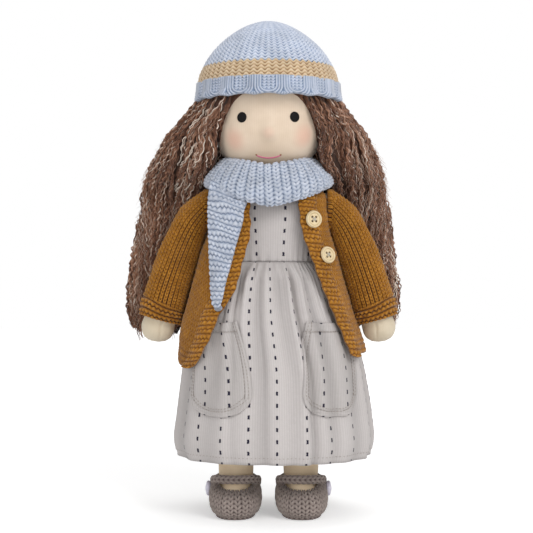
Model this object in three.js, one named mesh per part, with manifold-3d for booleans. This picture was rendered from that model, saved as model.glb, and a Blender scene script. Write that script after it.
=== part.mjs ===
// A dressed cloth doll that stands by itself: a stuffed body with a knitted hat, a scarf, a cardigan,
// a gathered dress with two pockets, and crocheted shoes. Millimetres, +Z up. The doll faces -Y and its
// own left side is +X. The origin is on the floor, midway between the shoes.

import * as THREE from 'three';
import { mergeVertices } from 'three/addons/utils/BufferGeometryUtils.js';
import { ParametricGeometry } from 'three/addons/geometries/ParametricGeometry.js';
import Module from 'manifold-3d';

const wasm = await Module();
wasm.setup();

// Clearances and cloth thicknesses
const GAP = 0.3;
const SKIN = 0.8;
const COTTON = 1.2;
const WOOL_EASE = 0.9;
const KNIT = 3;
const BAND_EXTRA = 0.6;
const HAT_KNIT = 3.5;
const HAT_EASE = 0.4;
const CROCHET = 2.8;

const WAIST_Z = 203.2;

// Torso: half width, half depth and height of its sections, from the seat up to the neck
const TORSO = [
  [33, 21, 157], [38.5, 26, 163], [41, 28.5, 174], [40.5, 28.5, 186], [37.5, 26.5, WAIST_Z],
  [40, 28, 222], [43.5, 29, 238], [43.5, 28, 247], [40, 25.5, 255], [32, 22, 261],
  [24, 20, 264.5], [18.5, 18, 267],
];
const BODY_SQUARENESS = 2.3;
const TORSO_SIDE = 43;
const TORSO_COLUMNS = 16;

// Head: a ball a little taller than it is wide, on a short neck
const HEAD_RADIUS = 46;
const HEAD_CENTRE_Z = 327;
const HEAD_HALF_HEIGHT = 54;
const HEAD_ROUNDNESS = 2.4;
const NECK_RADIUS = 18;
const HEAD_COLUMNS = 20;
const NECK_TIE_Z = 271;
const NECK_TIE_RADIUS = 0.8;
const EYE_X = 20.4;
const EYE_Z = 316.3;
const EYE_WIDTH = 7.2;
const EYE_HEIGHT = 7.9;
const EYE_DEPTH = 1.6;
// How far the flats of the head's facets lie inside its round form
const FACET_DEPTH = 0.7;
const NOSE_Z = 304;
const NOSE_WIDTH = 11;
const NOSE_HEIGHT = 9;
const NOSE_DEPTH = 2.4;
const MOUTH_WIDTH = 19;
const MOUTH_Z = 287.6;
const MOUTH_DIP = 2.6;
const MOUTH_THREAD = 0.5;

// Hair: a wig cap with the hair laid over it, and three hanging bunches
const HAIR_CAP = 6;
const HAIR_CAP_LOW_Z = 300;
const HAIRLINE_FRONT = [-37, 337];
const HAIRLINE_SIDE = [-6, 300];

// Hat: three knitted sections, pulled down to the brow. The brim is a doubled cuff that grips the hair.
const HAT_LOW_Z = 334;
const STRIPE_LOW_Z = 347;
const STRIPE_TOP_Z = 360.5;
const HAT_TOP_Z = 400.4;
const BRIM_RADIUS = 58.4;
const BRIM_FLARE = 1.2;
const BRIM_RIBS = 16;
const BRIM_RIB_COLUMNS = 3;
const BRIM_RIB_HEIGHT = 0.9;
const HAT_COLUMNS = 24;
const CROWN = [[57.6, 347], [54.6, 357], [51, 364.5], [44.8, 374], [35.5, 383.5], [24.5, 391.5], [12.5, 397.6]];

// Arms hang from round armholes at the shoulders. The edges of the sleeve nearest the body and furthest
// from it are lists of X and Z.
const SHOULDER_Z = 245;
const ARMHOLE_X = 50.8;
const ARMHOLE_RADIUS = 17.2;
const SLEEVE_INNER_EDGE = [[ARMHOLE_X, SHOULDER_Z - ARMHOLE_RADIUS], [52.4, 222], [57, 207], [63, 188], [67.6, 170], [71.8, 151.5]];
const SLEEVE_OUTER_EDGE = [[ARMHOLE_X, SHOULDER_Z + ARMHOLE_RADIUS], [68.5, 249.5], [82.5, 227], [92, 204], [99.6, 182], [104.8, 160.5]];
const SLEEVE_EASE = 0.7;
const ARMHOLE_CLEARANCE = 0.5;
const CUFF_SHARE = 0.86;
const CUFF_EXTRA = 0.5;
const HAND = [[76.6, 150, 103.6, 152.6, 12.6], [77.6, 145.5, 103, 146.6, 11.4], [81, 140.6, 99.6, 141.2, 8]];
const HAND_TIP = [90.2, 137.8];

// Legs hinge at flat sewn seams under the torso
const HIP_Z = 156.7;
const LEG_X = 26.5;
const LEG_RADIUS = 15.3;
const LEG_SEAM_DEPTH = 1.7;
const LEG_ROUND_Z = 134;
const LEG_TAPER_Z = 60;
const ANKLE_RADIUS = 14.2;
const ANKLE_Z = 33;
// Foot sections from the ankle to the toes: the Y and Z of the heel side, of the instep side, half width
const FOOT = [
  [13.8, 20, -16.4, 29.5, 14], [12.4, 10.5, -20.5, 25.4, 14.4], [5, 5, -25.5, 21.9, 14.8],
  [-10, 4.2, -31, 19.2, 14.8], [-24, 4.4, -37.4, 16, 13.2], [-34, 5.6, -42, 12.6, 9.2],
];

// Shoes: a flat crocheted sole, an upper open over the instep, a strap and its button
const SOLE_THICKNESS = 3.2;
const SOLE_FRONT_Y = -44.5;
const SOLE_BACK_Y = 21.4;
const SOLE_TOE_RADIUS = 15.6;
const SOLE_HEEL_RADIUS = 12;
const UPPER_TUCK = 5;
// Upper: Y, half width and top height of its sections from heel to toe
const UPPER = [
  [21.6, 7, 22], [19, 12, 28.2], [12.5, 16, 29.6], [2, 18.6, 29.4], [-9, 19.6, 28.4], [-20, 20, 26.4],
  [-30, 19.8, 24.2], [-39, 17.6, 21], [-46, 12.6, 16.8], [-49.6, 6.4, 12.6],
];
const UPPER_ROUNDNESS = 2.5;
const MOUTH_FRONT_Y = -29;
const MOUTH_BACK_Y = 14.6;
const MOUTH_HALF_WIDTH = 14.8;
const ANKLE_EASE = 0.6;
const STRAP_HEIGHT = 5;
const STRAP_THICKNESS = 2.6;
const STRAP_Z = 28.1;
const STRAP_FRONT_Y = -22.4;
const STRAP_END = [-8.5, 26.8];
const STRAP_REACH = 18.4;
const SHOE_BUTTON_RADIUS = 6;
const SHOE_BUTTON_HEIGHT = 3.6;
const SHOE_BUTTON_Y = -8;
const SHOE_BUTTON_Z = 20.3;

// Dress: a plain bodice and a skirt gathered into it
const BODICE_TOP_Z = 262;
const SKIRT = [
  [79, 69.5, 47], [75, 66, 85], [70, 62, 112], [68, 59.5, 125], [63.5, 55, 148], [58.5, 50, 166],
  [54, 45, 180], [49.5, 39.5, 192], [43.5, 33, 200], [41, 30, WAIST_Z - GAP / 2],
];
const FLUTES = 18;
const FLUTE_COLUMNS = 3;
const FLUTE_DEPTH_WAIST = 1.6;
const FLUTE_DEPTH_HIP = 1;
const FLUTE_DEPTH_HEM = 2.5;
const FLUTE_HIP_Z = 150;
const POCKET_X = 43;
const POCKET_TOP_Z = 156;
const POCKET_LOW_Z = 83;
const POCKET_WIDTH = 48;
const POCKET_HEM = 7.6;
const POCKET_HEM_EXTRA = 0.4;

// Cardigan: its outer surface from hem to neck, and the X of its two front edges by height
const CARDIGAN = [
  [77.5, 70.5, 110], [74.5, 67, 125], [69.8, 62, 148], [65, 57, 166], [58.5, 50, 192], [54, 45, 210],
  [50, 41, 228], [50, 39.4, 245], [48.8, 37.2, 254], [44, 33.5, 261.5], [36, 29.5, 266.5],
  [28, 26, 269.5],
];
const FRONT_EDGE_LEFT = [[23, 258], [24, 246], [26, 230], [37, 198], [45, 178], [53.4, 157], [61, 139], [66, 127]];
const FRONT_EDGE_RIGHT = [[14, 258], [14.4, 243], [13.8, 228], [20, 204], [27.7, 178], [37.8, 162], [45, 144], [60, 118]];
const BAND_WIDTH = 14;
const FRONT_ROWS = 9;
const HEM_SIDE_Z = 131;
const HEM_BACK_Z = 136;
const NECK_BACK_Z = 268.6;
const BUTTON_RADIUS = 6.8;
const BUTTON_THICKNESS = 2.6;
const BUTTON_RIM = 1.1;
const BUTTON_RIM_HEIGHT = 0.7;
const BUTTON_HOLE_RADIUS = 0.9;
const BUTTON_HOLE_SPREAD = 2;
const BUTTONS = { upper: [34.8, 236.3], lower: [45.4, 208.2] };

// Scarf: one turn round the neck, higher over the shoulders, and one end hanging in front
const SCARF_HALF_WIDTH = 53;
const SCARF_HALF_DEPTH = 50;
const SCARF_LOW_Z = 246;
const SCARF_SHOULDER_RISE = 17.5;
const SCARF_TOP_Z = 279;
const SCARF_SIDE_RISE = 7.5;
const TAIL_THICKNESS = 5;
const TAIL_LOW_Z = 167;
const TAIL_LEFT_EDGE = [[47.5, 259], [47.8, 225], [46.5, 193], [44, TAIL_LOW_Z]];
const TAIL_RIGHT_EDGE = [[18, 246], [21.3, 232], [29, 204], [33.7, 186], [35, TAIL_LOW_Z]];
const TAIL_STANDS_OFF = 43;

const vec = (x, y, z) => new THREE.Vector3(x, y, z);
const mix = (a, b, t) => a + (b - a) * t;
const turn = (share) => share * 2 * Math.PI;

// The signed volume inside a triangle mesh, which is negative where its faces point inwards.
function signedVolume(position, index) {
  const [a, b, c] = [vec(0, 0, 0), vec(0, 0, 0), vec(0, 0, 0)];
  let sum = 0;
  for (let i = 0; i < index.length; i += 3) {
    a.fromBufferAttribute(position, index[i]);
    b.fromBufferAttribute(position, index[i + 1]);
    c.fromBufferAttribute(position, index[i + 2]);
    sum += a.dot(b.cross(c)) / 6;
  }
  return sum;
}

// One welded solid from a geometry whose seams meet: no flat triangles, and every face pointing out.
function closed(geometry) {
  geometry.deleteAttribute('normal');
  geometry.deleteAttribute('uv');
  const welded = mergeVertices(geometry, 1e-3);
  const old = welded.getIndex().array;
  const index = [];
  for (let i = 0; i < old.length; i += 3) {
    const [a, b, c] = [old[i], old[i + 1], old[i + 2]];
    if (a !== b && b !== c && c !== a) index.push(a, b, c);
  }
  if (signedVolume(welded.getAttribute('position'), index) < 0) index.reverse();
  welded.setIndex(index);
  return mergeVertices(welded, 1e-3);
}

function toManifold(geometry) {
  return new wasm.Manifold(new wasm.Mesh({
    numProp: 3,
    vertProperties: new Float32Array(geometry.getAttribute('position').array),
    triVerts: new Uint32Array(geometry.getIndex().array),
  }));
}

function fromManifold(solid) {
  const mesh = solid.getMesh();
  const geometry = new THREE.BufferGeometry();
  geometry.setAttribute('position', new THREE.BufferAttribute(mesh.vertProperties, 3));
  geometry.setIndex(new THREE.BufferAttribute(mesh.triVerts, 1));
  return closed(geometry);
}

function cut(geometry, ...tools) {
  let solid = toManifold(geometry);
  for (const tool of tools) solid = solid.subtract(toManifold(tool));
  return fromManifold(solid);
}

// A solid from rows of points, each row a closed ring: row(angle) gives its point. A row that is a
// single point closes an end. A loop of rows closes on itself, as the wall of a sleeve does.
function fromRows(rows, columns, loop = false) {
  const steps = loop ? rows.length : rows.length - 1;
  const surface = new ParametricGeometry((u, v, target) => {
    const row = rows[Math.round(v * steps) % rows.length];
    const column = Math.round(u * columns) % columns;
    target.copy(row(turn(column / columns)));
  }, columns, steps);
  return closed(surface);
}

const pointRow = (point) => () => point;

// A panel of cloth: a thin box bent on to a surface by at(across, up, through), each from 0 to 1.
function panel(columns, rows, at) {
  const geometry = new THREE.BoxGeometry(1, 1, 1, columns, 1, rows);
  const position = geometry.getAttribute('position');
  for (let i = 0; i < position.count; i += 1) {
    const point = at(position.getX(i) + 0.5, position.getZ(i) + 0.5, position.getY(i) + 0.5);
    position.setXYZ(i, point.x, point.y, point.z);
  }
  return closed(geometry);
}

// A solid of revolution about Z from a list of radius and height.
function revolve(profile, columns) {
  const lathe = new THREE.LatheGeometry(profile.map(([r, z]) => new THREE.Vector2(r, z)), columns);
  return closed(lathe.rotateX(Math.PI / 2));
}

// A smooth list of numbers between given rows of numbers, by the first column or any other.
function curveThrough(rows) {
  return new THREE.CatmullRomCurve3(rows.map((row) => vec(row[0], row[1], row[2] ?? 0)), false, 'centripetal');
}

// The share of the way along a curve at which one coordinate, which only rises or falls, has a value.
function shareWhere(curve, axis, value) {
  const rises = curve.getPoint(1)[axis] > curve.getPoint(0)[axis];
  let [low, high] = [0, 1];
  for (let i = 0; i < 40; i += 1) {
    const middle = (low + high) / 2;
    if (curve.getPoint(middle)[axis] < value === rises) low = middle;
    else high = middle;
  }
  return (low + high) / 2;
}

const power = (value, exponent) => Math.sign(value) * Math.abs(value) ** exponent;

// A point on a body outline, a curve of half width, half depth and height. The angle runs round from
// +X through +Y, and off moves the point out along the surface's slope.
function onBody(outline, share, angle, off = 0) {
  const size = outline.getPoint(share);
  const along = outline.getTangent(share);
  const length = Math.hypot(along.x, along.z);
  const out = off * along.z / length;
  const up = -off * along.x / length;
  return vec(
    (size.x + out) * power(Math.cos(angle), 2 / BODY_SQUARENESS),
    (size.y + out) * power(Math.sin(angle), 2 / BODY_SQUARENESS),
    size.z + up,
  );
}

// The angle at which a body outline has the given X, on the front.
function frontAngle(outline, share, x) {
  const ratio = Math.min(1, Math.abs(x) / outline.getPoint(share).x);
  const angle = Math.acos(ratio ** (BODY_SQUARENESS / 2));
  return x > 0 ? -angle : angle - Math.PI;
}

const torso = curveThrough(TORSO);
const skirt = curveThrough(SKIRT);
const cardigan = curveThrough(CARDIGAN);

// Shares of an outline spread evenly between two heights.
function sharesBetween(outline, lowZ, highZ, count) {
  const [low, high] = [shareWhere(outline, 'z', lowZ), shareWhere(outline, 'z', highZ)];
  return Array.from({ length: count }, (_, i) => mix(low, high, i / (count - 1)));
}

// A cylinder along X, for the armholes and the seats of the arms.
function crossBar(radius, fromX, toX) {
  const bar = new THREE.CylinderGeometry(radius, radius, toX - fromX, 20);
  bar.rotateZ(Math.PI / 2);
  bar.translate((fromX + toX) / 2, 0, SHOULDER_Z);
  return closed(bar);
}

function block(lowX, highX, lowY, highY, lowZ, highZ) {
  const box = new THREE.BoxGeometry(highX - lowX, highY - lowY, highZ - lowZ);
  box.translate((lowX + highX) / 2, (lowY + highY) / 2, (lowZ + highZ) / 2);
  return closed(box);
}

const FAR = 300;

// The stuffed torso: a jersey bag open at the neck, and the wool in it
const torsoShares = TORSO.map(([, , z]) => shareWhere(torso, 'z', z));

function torsoRows(off, bottomZ, topZ) {
  return torsoShares.map((share) => (angle) => {
    const point = onBody(torso, share, angle, off);
    point.z = Math.min(Math.max(point.z, bottomZ), topZ);
    return point;
  });
}

function sideFlats(geometry, x) {
  return cut(
    geometry,
    block(x, FAR, -FAR, FAR, 0, FAR * 2),
    block(-FAR, -x, -FAR, FAR, 0, FAR * 2),
  );
}

function makeTorsoSkin() {
  const [bottom, top] = [TORSO[0][2], TORSO.at(-1)[2]];
  const outer = [pointRow(vec(0, 0, bottom)), ...torsoRows(0, bottom, top)];
  const inner = [...torsoRows(-SKIN, bottom + SKIN, top).reverse(), pointRow(vec(0, 0, bottom + SKIN))];
  const walls = sideFlats(fromRows([...outer, pointRow(vec(0, 0, top))], TORSO_COLUMNS), TORSO_SIDE);
  const hollow = sideFlats(fromRows([pointRow(vec(0, 0, top + SKIN)), ...inner], TORSO_COLUMNS), TORSO_SIDE - SKIN);
  return cut(walls, hollow);
}

function makeTorsoFilling() {
  const [bottom, top] = [TORSO[0][2] + SKIN + GAP, TORSO.at(-1)[2]];
  const rows = torsoRows(-SKIN - GAP, bottom, top - 0.05);
  const ball = fromRows([pointRow(vec(0, 0, bottom)), ...rows, pointRow(vec(0, 0, top - 0.05))], TORSO_COLUMNS);
  return sideFlats(ball, TORSO_SIDE - SKIN - GAP);
}

// The head's radius at a height
function headRadius(z) {
  const rise = Math.min(1, Math.abs((z - HEAD_CENTRE_Z) / HEAD_HALF_HEIGHT));
  return HEAD_RADIUS * (1 - rise ** HEAD_ROUNDNESS) ** (1 / HEAD_ROUNDNESS);
}

const HEAD_LOW_Z = TORSO.at(-1)[2] + GAP;
const HEAD_TOP_Z = HEAD_CENTRE_Z + HEAD_HALF_HEIGHT;

// Radius and height down the head from the crown to the neck, moved out by off
function headProfile(off, lowZ) {
  const points = [[0, HEAD_TOP_Z + off]];
  const steps = 10;
  for (let i = 1; i < steps; i += 1) {
    const angle = Math.PI * i / steps;
    const r = HEAD_RADIUS * Math.sin(angle) ** (2 / HEAD_ROUNDNESS);
    const z = HEAD_CENTRE_Z + HEAD_HALF_HEIGHT * power(Math.cos(angle), 2 / HEAD_ROUNDNESS);
    const slope = Math.atan2(Math.cos(angle) * HEAD_RADIUS, Math.sin(angle) * HEAD_HALF_HEIGHT);
    const point = [r + off * Math.cos(slope), z + off * Math.sin(slope)];
    if (point[0] > NECK_RADIUS + off || z > HEAD_CENTRE_Z) points.push(point);
  }
  points.push([NECK_RADIUS + off, NECK_TIE_Z + 4], [NECK_RADIUS + off, lowZ]);
  return points;
}

function noseBead() {
  const bead = new THREE.SphereGeometry(1, 12, 8);
  bead.scale(NOSE_WIDTH / 2, NOSE_DEPTH + SKIN / 2, NOSE_HEIGHT / 2);
  bead.translate(0, -headRadius(NOSE_Z) + SKIN / 2, NOSE_Z);
  return closed(bead);
}

function makeHeadSkin() {
  const outer = headProfile(0, HEAD_LOW_Z);
  const inner = headProfile(-SKIN, HEAD_LOW_Z).reverse();
  const shell = toManifold(revolve([...outer, ...inner], HEAD_COLUMNS));
  const bead = toManifold(noseBead()).subtract(toManifold(revolve([
    ...headProfile(-SKIN, HEAD_LOW_Z), [0, HEAD_LOW_Z],
  ], HEAD_COLUMNS)));
  return fromManifold(shell.add(bead));
}

function makeHeadCore() {
  return revolve([...headProfile(-SKIN - GAP, HEAD_LOW_Z), [0, HEAD_LOW_Z]], HEAD_COLUMNS);
}

function makeNeckTie() {
  const ring = new THREE.TorusGeometry(NECK_RADIUS + GAP + NECK_TIE_RADIUS, NECK_TIE_RADIUS, 5, 20);
  ring.translate(0, 0, NECK_TIE_Z);
  return closed(ring);
}

// A point just off the face at X and Z
function onFace(x, z, off) {
  const radius = headRadius(z) + off;
  return vec(x, -Math.sqrt(radius ** 2 - x ** 2), z);
}

function makeEye(side) {
  const steps = 5;
  const dome = [[0, EYE_DEPTH]];
  for (let i = 1; i <= steps; i += 1) {
    const angle = Math.PI / 2 * i / steps;
    dome.push([Math.sin(angle), Math.cos(angle) * EYE_DEPTH]);
  }
  dome.push([0, 0]);
  const geometry = revolve(dome, 12);
  geometry.scale(EYE_WIDTH / 2, EYE_HEIGHT / 2, 1);
  geometry.rotateX(Math.PI / 2);
  geometry.rotateZ(Math.asin(EYE_X / headRadius(EYE_Z)) * side);
  const seat = onFace(side * EYE_X, EYE_Z, GAP - FACET_DEPTH);
  geometry.translate(seat.x, seat.y, seat.z);
  return geometry;
}

function makeMouth() {
  const points = Array.from({ length: 7 }, (_, i) => {
    const share = i / 3 - 1;
    return onFace(share * MOUTH_WIDTH / 2, MOUTH_Z - MOUTH_DIP * (1 - share ** 2), GAP * 2 + MOUTH_THREAD);
  });
  const section = new THREE.Shape().absarc(0, 0, MOUTH_THREAD, 0, Math.PI * 2);
  const path = new THREE.CatmullRomCurve3(points);
  return closed(new THREE.ExtrudeGeometry(section, { steps: 8, extrudePath: path, curveSegments: 3 }));
}

// The wig cap follows the head down to the nape, and its front edge leaves the face bare
function makeHairCap() {
  const outer = headProfile(GAP + HAIR_CAP, HAIR_CAP_LOW_Z).filter(([, z]) => z > HAIR_CAP_LOW_Z);
  const inner = headProfile(GAP, HAIR_CAP_LOW_Z).filter(([, z]) => z > HAIR_CAP_LOW_Z).reverse();
  const shell = revolve([...outer, ...inner], HEAD_COLUMNS);
  const [y0, z0] = HAIRLINE_FRONT;
  const [y1, z1] = HAIRLINE_SIDE;
  const slope = Math.atan2(z0 - z1, y1 - y0);
  const face = new THREE.BoxGeometry(FAR, FAR, FAR);
  face.translate(0, 0, -FAR / 2);
  face.rotateX(-slope);
  face.translate(0, y1, z1);
  return cut(shell, closed(face));
}

// Hair sections. Each is a crescent in plan: its height, then X and Y of its front end, of the control
// point that bends it round the head, and of its back end, and last its greatest half thickness.
const HAIR_SIDE = [
  [333.4, 38.5, -40, 86, 9, 30, 49, 3.4], [320, 38, -39.5, 96.4, 8, 31, 50, 5.4],
  [305, 40, -35, 110.8, 8, 33, 50.5, 9], [290, 43.5, -28, 121.2, 10, 38, 52, 12.4],
  [276, 50, -14, 122.6, 18, 50, 55, 11.7], [264, 58, 4, 119.2, 26, 66, 53, 10.4],
  [251, 63, 22, 109.4, 32, 86, 45, 8.8], [237, 67, 32, 103.8, 34, 104, 38, 9.1],
  [215, 68, 33.8, 101, 33.8, 114, 34.4, 9.4], [190, 70.4, 34, 104, 34, 117.6, 34, 9.4],
  [160, 72, 34, 104.8, 34, 118, 34, 9.1], [136, 84, 34, 99.8, 34, 106, 34, 5.6],
];
const HAIR_BACK = [
  [333.4, -27, 53.2, 0, 65.2, 27, 53.2, 2.7], [320, -27, 54.6, 0, 66, 27, 54.6, 3.4],
  [300, -30, 57, 0, 66.4, 30, 57, 4], [280, -40, 61, 0, 66, 40, 61, 3.7],
  [250, -62, 62, 0, 66, 62, 62, 3.7], [230, -66, 57, 0, 62, 66, 57, 4.3],
  [200, -66, 59, 0, 62, 66, 59, 4.5], [170, -62, 64, 0, 65, 62, 64, 3.2],
  [142, -46, 67.6, 0, 68.6, 46, 67.6, 2.4],
];

function makeHair(sections, side, columns) {
  const spines = sections.map(([z, ax, ay, bx, by, cx, cy, half]) => ({
    z,
    half,
    curve: new THREE.QuadraticBezierCurve(
      new THREE.Vector2(side * ax, ay), new THREE.Vector2(side * bx, by), new THREE.Vector2(side * cx, cy),
    ),
  }));
  const rows = spines.map(({ z, half, curve }) => (angle) => {
    const share = (1 - Math.cos(angle)) / 2;
    const point = curve.getPoint(share);
    const along = curve.getTangent(share);
    const out = half * Math.sin(angle);
    return vec(point.x + along.y * out, point.y - along.x * out, z);
  });
  const end = ({ z, curve }) => {
    const middle = curve.getPoint(0.5);
    return pointRow(vec(middle.x, middle.y, z));
  };
  return fromRows([end(spines[0]), ...rows, end(spines.at(-1))], columns);
}

// Hat: the crown is a dome, the stripe a plain ring, and the brim is ribbed
const crownCurve = new THREE.SplineCurve([
  ...CROWN.map(([r, z]) => new THREE.Vector2(r, z)), new THREE.Vector2(0, HAT_TOP_Z),
]);

function crownRing(z, off) {
  let [low, high] = [0, 1];
  for (let i = 0; i < 30; i += 1) {
    const middle = (low + high) / 2;
    if (crownCurve.getPoint(middle).y < z) low = middle;
    else high = middle;
  }
  return [crownCurve.getPoint(low).x + off, z];
}

function makeHatCrown() {
  const lowZ = STRIPE_TOP_Z + GAP;
  const outer = [];
  const steps = 6;
  for (let i = 0; i < steps; i += 1) {
    const share = 1 - (1 - i / steps) ** 1.6;
    outer.push(crownRing(mix(lowZ, HAT_TOP_Z, share), 0));
  }
  const inner = outer.map(([r, z]) => [Math.max(r - HAT_KNIT * 1.15, r * 0.6), Math.max(lowZ, z - HAT_KNIT * 0.9)]);
  inner[0][1] = lowZ;
  return revolve([[0, HAT_TOP_Z], ...outer.reverse(), ...inner, [0, HAT_TOP_Z - HAT_KNIT]], HAT_COLUMNS);
}

function makeHatStripe() {
  const outer = [STRIPE_LOW_Z + GAP, STRIPE_TOP_Z].map((z) => crownRing(z, 0));
  const inner = outer.map(([r, z]) => [r - HAT_KNIT, z]).reverse();
  return revolve([...outer, ...inner, outer[0]], HAT_COLUMNS);
}

function makeHatBrim() {
  const at = (r, z, rib) => (angle) => {
    const radius = r + rib * Math.cos(BRIM_RIBS * angle);
    return vec(radius * Math.cos(angle), radius * Math.sin(angle), z);
  };
  const middle = (HAT_LOW_Z + STRIPE_LOW_Z) / 2;
  const grip = HEAD_RADIUS + GAP + HAIR_CAP + HAT_EASE;
  return fromRows([
    at(BRIM_RADIUS + BRIM_FLARE, HAT_LOW_Z, BRIM_RIB_HEIGHT),
    at(BRIM_RADIUS, middle, BRIM_RIB_HEIGHT),
    at(crownRing(STRIPE_LOW_Z, 0)[0], STRIPE_LOW_Z, BRIM_RIB_HEIGHT / 3),
    at(grip, STRIPE_LOW_Z, 0),
    at(grip, HAT_LOW_Z, 0),
  ], BRIM_RIBS * BRIM_RIB_COLUMNS, true);
}

const LIMB_COLUMNS = 12;

// A limb section spans two edge points in one plane, with a half depth across that plane.
function limbSection(edgeA, edgeB, halfDepth, across) {
  return { edgeA, edgeB, halfDepth, across };
}

function onLimb(section, angle, off) {
  const centre = section.edgeA.clone().add(section.edgeB).multiplyScalar(0.5);
  const half = section.edgeB.clone().sub(section.edgeA).multiplyScalar(0.5);
  half.setLength(half.length() + off);
  const deep = section.across.clone().setLength(section.halfDepth + off);
  return centre.addScaledVector(half, Math.cos(angle)).addScaledVector(deep, Math.sin(angle));
}

const limbRows = (sections, off) => sections.map((section) => (angle) => onLimb(section, angle, off));

const innerSleeve = curveThrough(SLEEVE_INNER_EDGE);
const outerSleeve = curveThrough(SLEEVE_OUTER_EDGE);

// Sleeve sections of the doll's left or right arm between two shares of its length
function sleeveSections(side, from, to, count) {
  return Array.from({ length: count }, (_, i) => {
    const share = mix(from, to, i / (count - 1));
    const [a, b] = [innerSleeve.getPoint(share), outerSleeve.getPoint(share)];
    return limbSection(vec(side * a.x, 0, a.y), vec(side * b.x, 0, b.y), ARMHOLE_RADIUS, vec(0, 1, 0));
  });
}

function makeSleeve(side) {
  const sections = sleeveSections(side, 0, CUFF_SHARE, 7);
  return fromRows([...limbRows(sections, 0), ...limbRows(sections, -KNIT).reverse()], LIMB_COLUMNS, true);
}

function makeCuff(side) {
  const sections = sleeveSections(side, CUFF_SHARE + GAP / 100, 1, 3);
  return fromRows([...limbRows(sections, CUFF_EXTRA), ...limbRows(sections, -KNIT).reverse()], LIMB_COLUMNS, true);
}

const ARM_OFF = -KNIT - SLEEVE_EASE;
const ARM_ROOT_RADIUS = ARMHOLE_RADIUS + ARM_OFF;

// The arm fills its sleeve, reaches through the armhole to the torso, and ends in a mitten hand
function armSections(side) {
  const rootX = side * (TORSO_SIDE + GAP);
  const sleeve = sleeveSections(side, 0, 1, 7);
  const root = limbSection(
    vec(rootX, 0, SHOULDER_Z - ARMHOLE_RADIUS), vec(rootX, 0, SHOULDER_Z + ARMHOLE_RADIUS), ARMHOLE_RADIUS, vec(0, 1, 0),
  );
  const hand = HAND.map(([ax, az, bx, bz, depth]) => limbSection(
    vec(side * (ax + ARM_OFF), 0, az), vec(side * (bx - ARM_OFF), 0, bz), depth - ARM_OFF, vec(0, 1, 0),
  ));
  return [root, ...sleeve, ...hand];
}

function makeArmSkin(side) {
  const sections = armSections(side);
  const tip = vec(side * HAND_TIP[0], 0, HAND_TIP[1]);
  const innerTip = tip.clone().setZ(HAND_TIP[1] + SKIN);
  return fromRows([
    ...limbRows(sections, ARM_OFF), pointRow(tip), pointRow(innerTip),
    ...limbRows(sections, ARM_OFF - SKIN).reverse(),
  ], LIMB_COLUMNS, true);
}

function makeArmFilling(side) {
  const sections = armSections(side);
  const first = sections[0].edgeA.x;
  const rows = limbRows(sections, ARM_OFF - SKIN - WOOL_EASE);
  const tip = vec(side * HAND_TIP[0], 0, HAND_TIP[1] + SKIN + WOOL_EASE);
  return fromRows([pointRow(vec(first, 0, SHOULDER_Z)), ...rows, pointRow(tip)], LIMB_COLUMNS);
}

// Leg: flat at the seam, round below it, then the foot
function legSections(side) {
  const x = side * LEG_X;
  const across = vec(1, 0, 0);
  const straight = [
    [LEG_SEAM_DEPTH, HIP_Z - GAP, LEG_RADIUS - 0.8], [LEG_RADIUS * 0.62, mix(LEG_ROUND_Z, HIP_Z, 0.55), LEG_RADIUS],
    [LEG_RADIUS, LEG_ROUND_Z, LEG_RADIUS], [LEG_RADIUS, LEG_TAPER_Z, LEG_RADIUS],
    [ANKLE_RADIUS, ANKLE_Z, ANKLE_RADIUS],
  ].map(([depth, z, width]) => limbSection(vec(x, depth, z), vec(x, -depth, z), width, across));
  const foot = FOOT.map(([heelY, heelZ, topY, topZ, width]) => limbSection(
    vec(x, heelY, heelZ), vec(x, topY, topZ), width, across,
  ));
  return [...straight, ...foot];
}

const TOE_TIP = [-43.4, 8.6];

function makeLegSkin(side) {
  const sections = legSections(side);
  const tip = vec(side * LEG_X, TOE_TIP[0], TOE_TIP[1]);
  const innerTip = tip.clone().setY(TOE_TIP[0] + SKIN);
  return fromRows([
    ...limbRows(sections, 0), pointRow(tip), pointRow(innerTip), ...limbRows(sections, -SKIN).reverse(),
  ], LIMB_COLUMNS, true);
}

function makeLegFilling(side) {
  const sections = legSections(side).slice(1);
  const start = vec(side * LEG_X, 0, sections[0].edgeA.z);
  const tip = vec(side * LEG_X, TOE_TIP[0] + SKIN + WOOL_EASE, TOE_TIP[1]);
  return fromRows([pointRow(start), ...limbRows(sections, -SKIN - WOOL_EASE), pointRow(tip)], LIMB_COLUMNS);
}

// Shoe sole: two arcs joined by straight sides, flat on the floor
function makeSole(side) {
  const outline = new THREE.Shape();
  const toeY = SOLE_FRONT_Y + SOLE_TOE_RADIUS;
  const heelY = SOLE_BACK_Y - SOLE_HEEL_RADIUS;
  outline.absarc(0, heelY, SOLE_HEEL_RADIUS, 0, Math.PI);
  outline.absarc(0, toeY, SOLE_TOE_RADIUS, Math.PI, Math.PI * 2);
  const sole = new THREE.ExtrudeGeometry(outline, { depth: SOLE_THICKNESS, bevelEnabled: false, curveSegments: 8 });
  sole.translate(side * LEG_X, 0, 0);
  return closed(sole);
}

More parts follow.
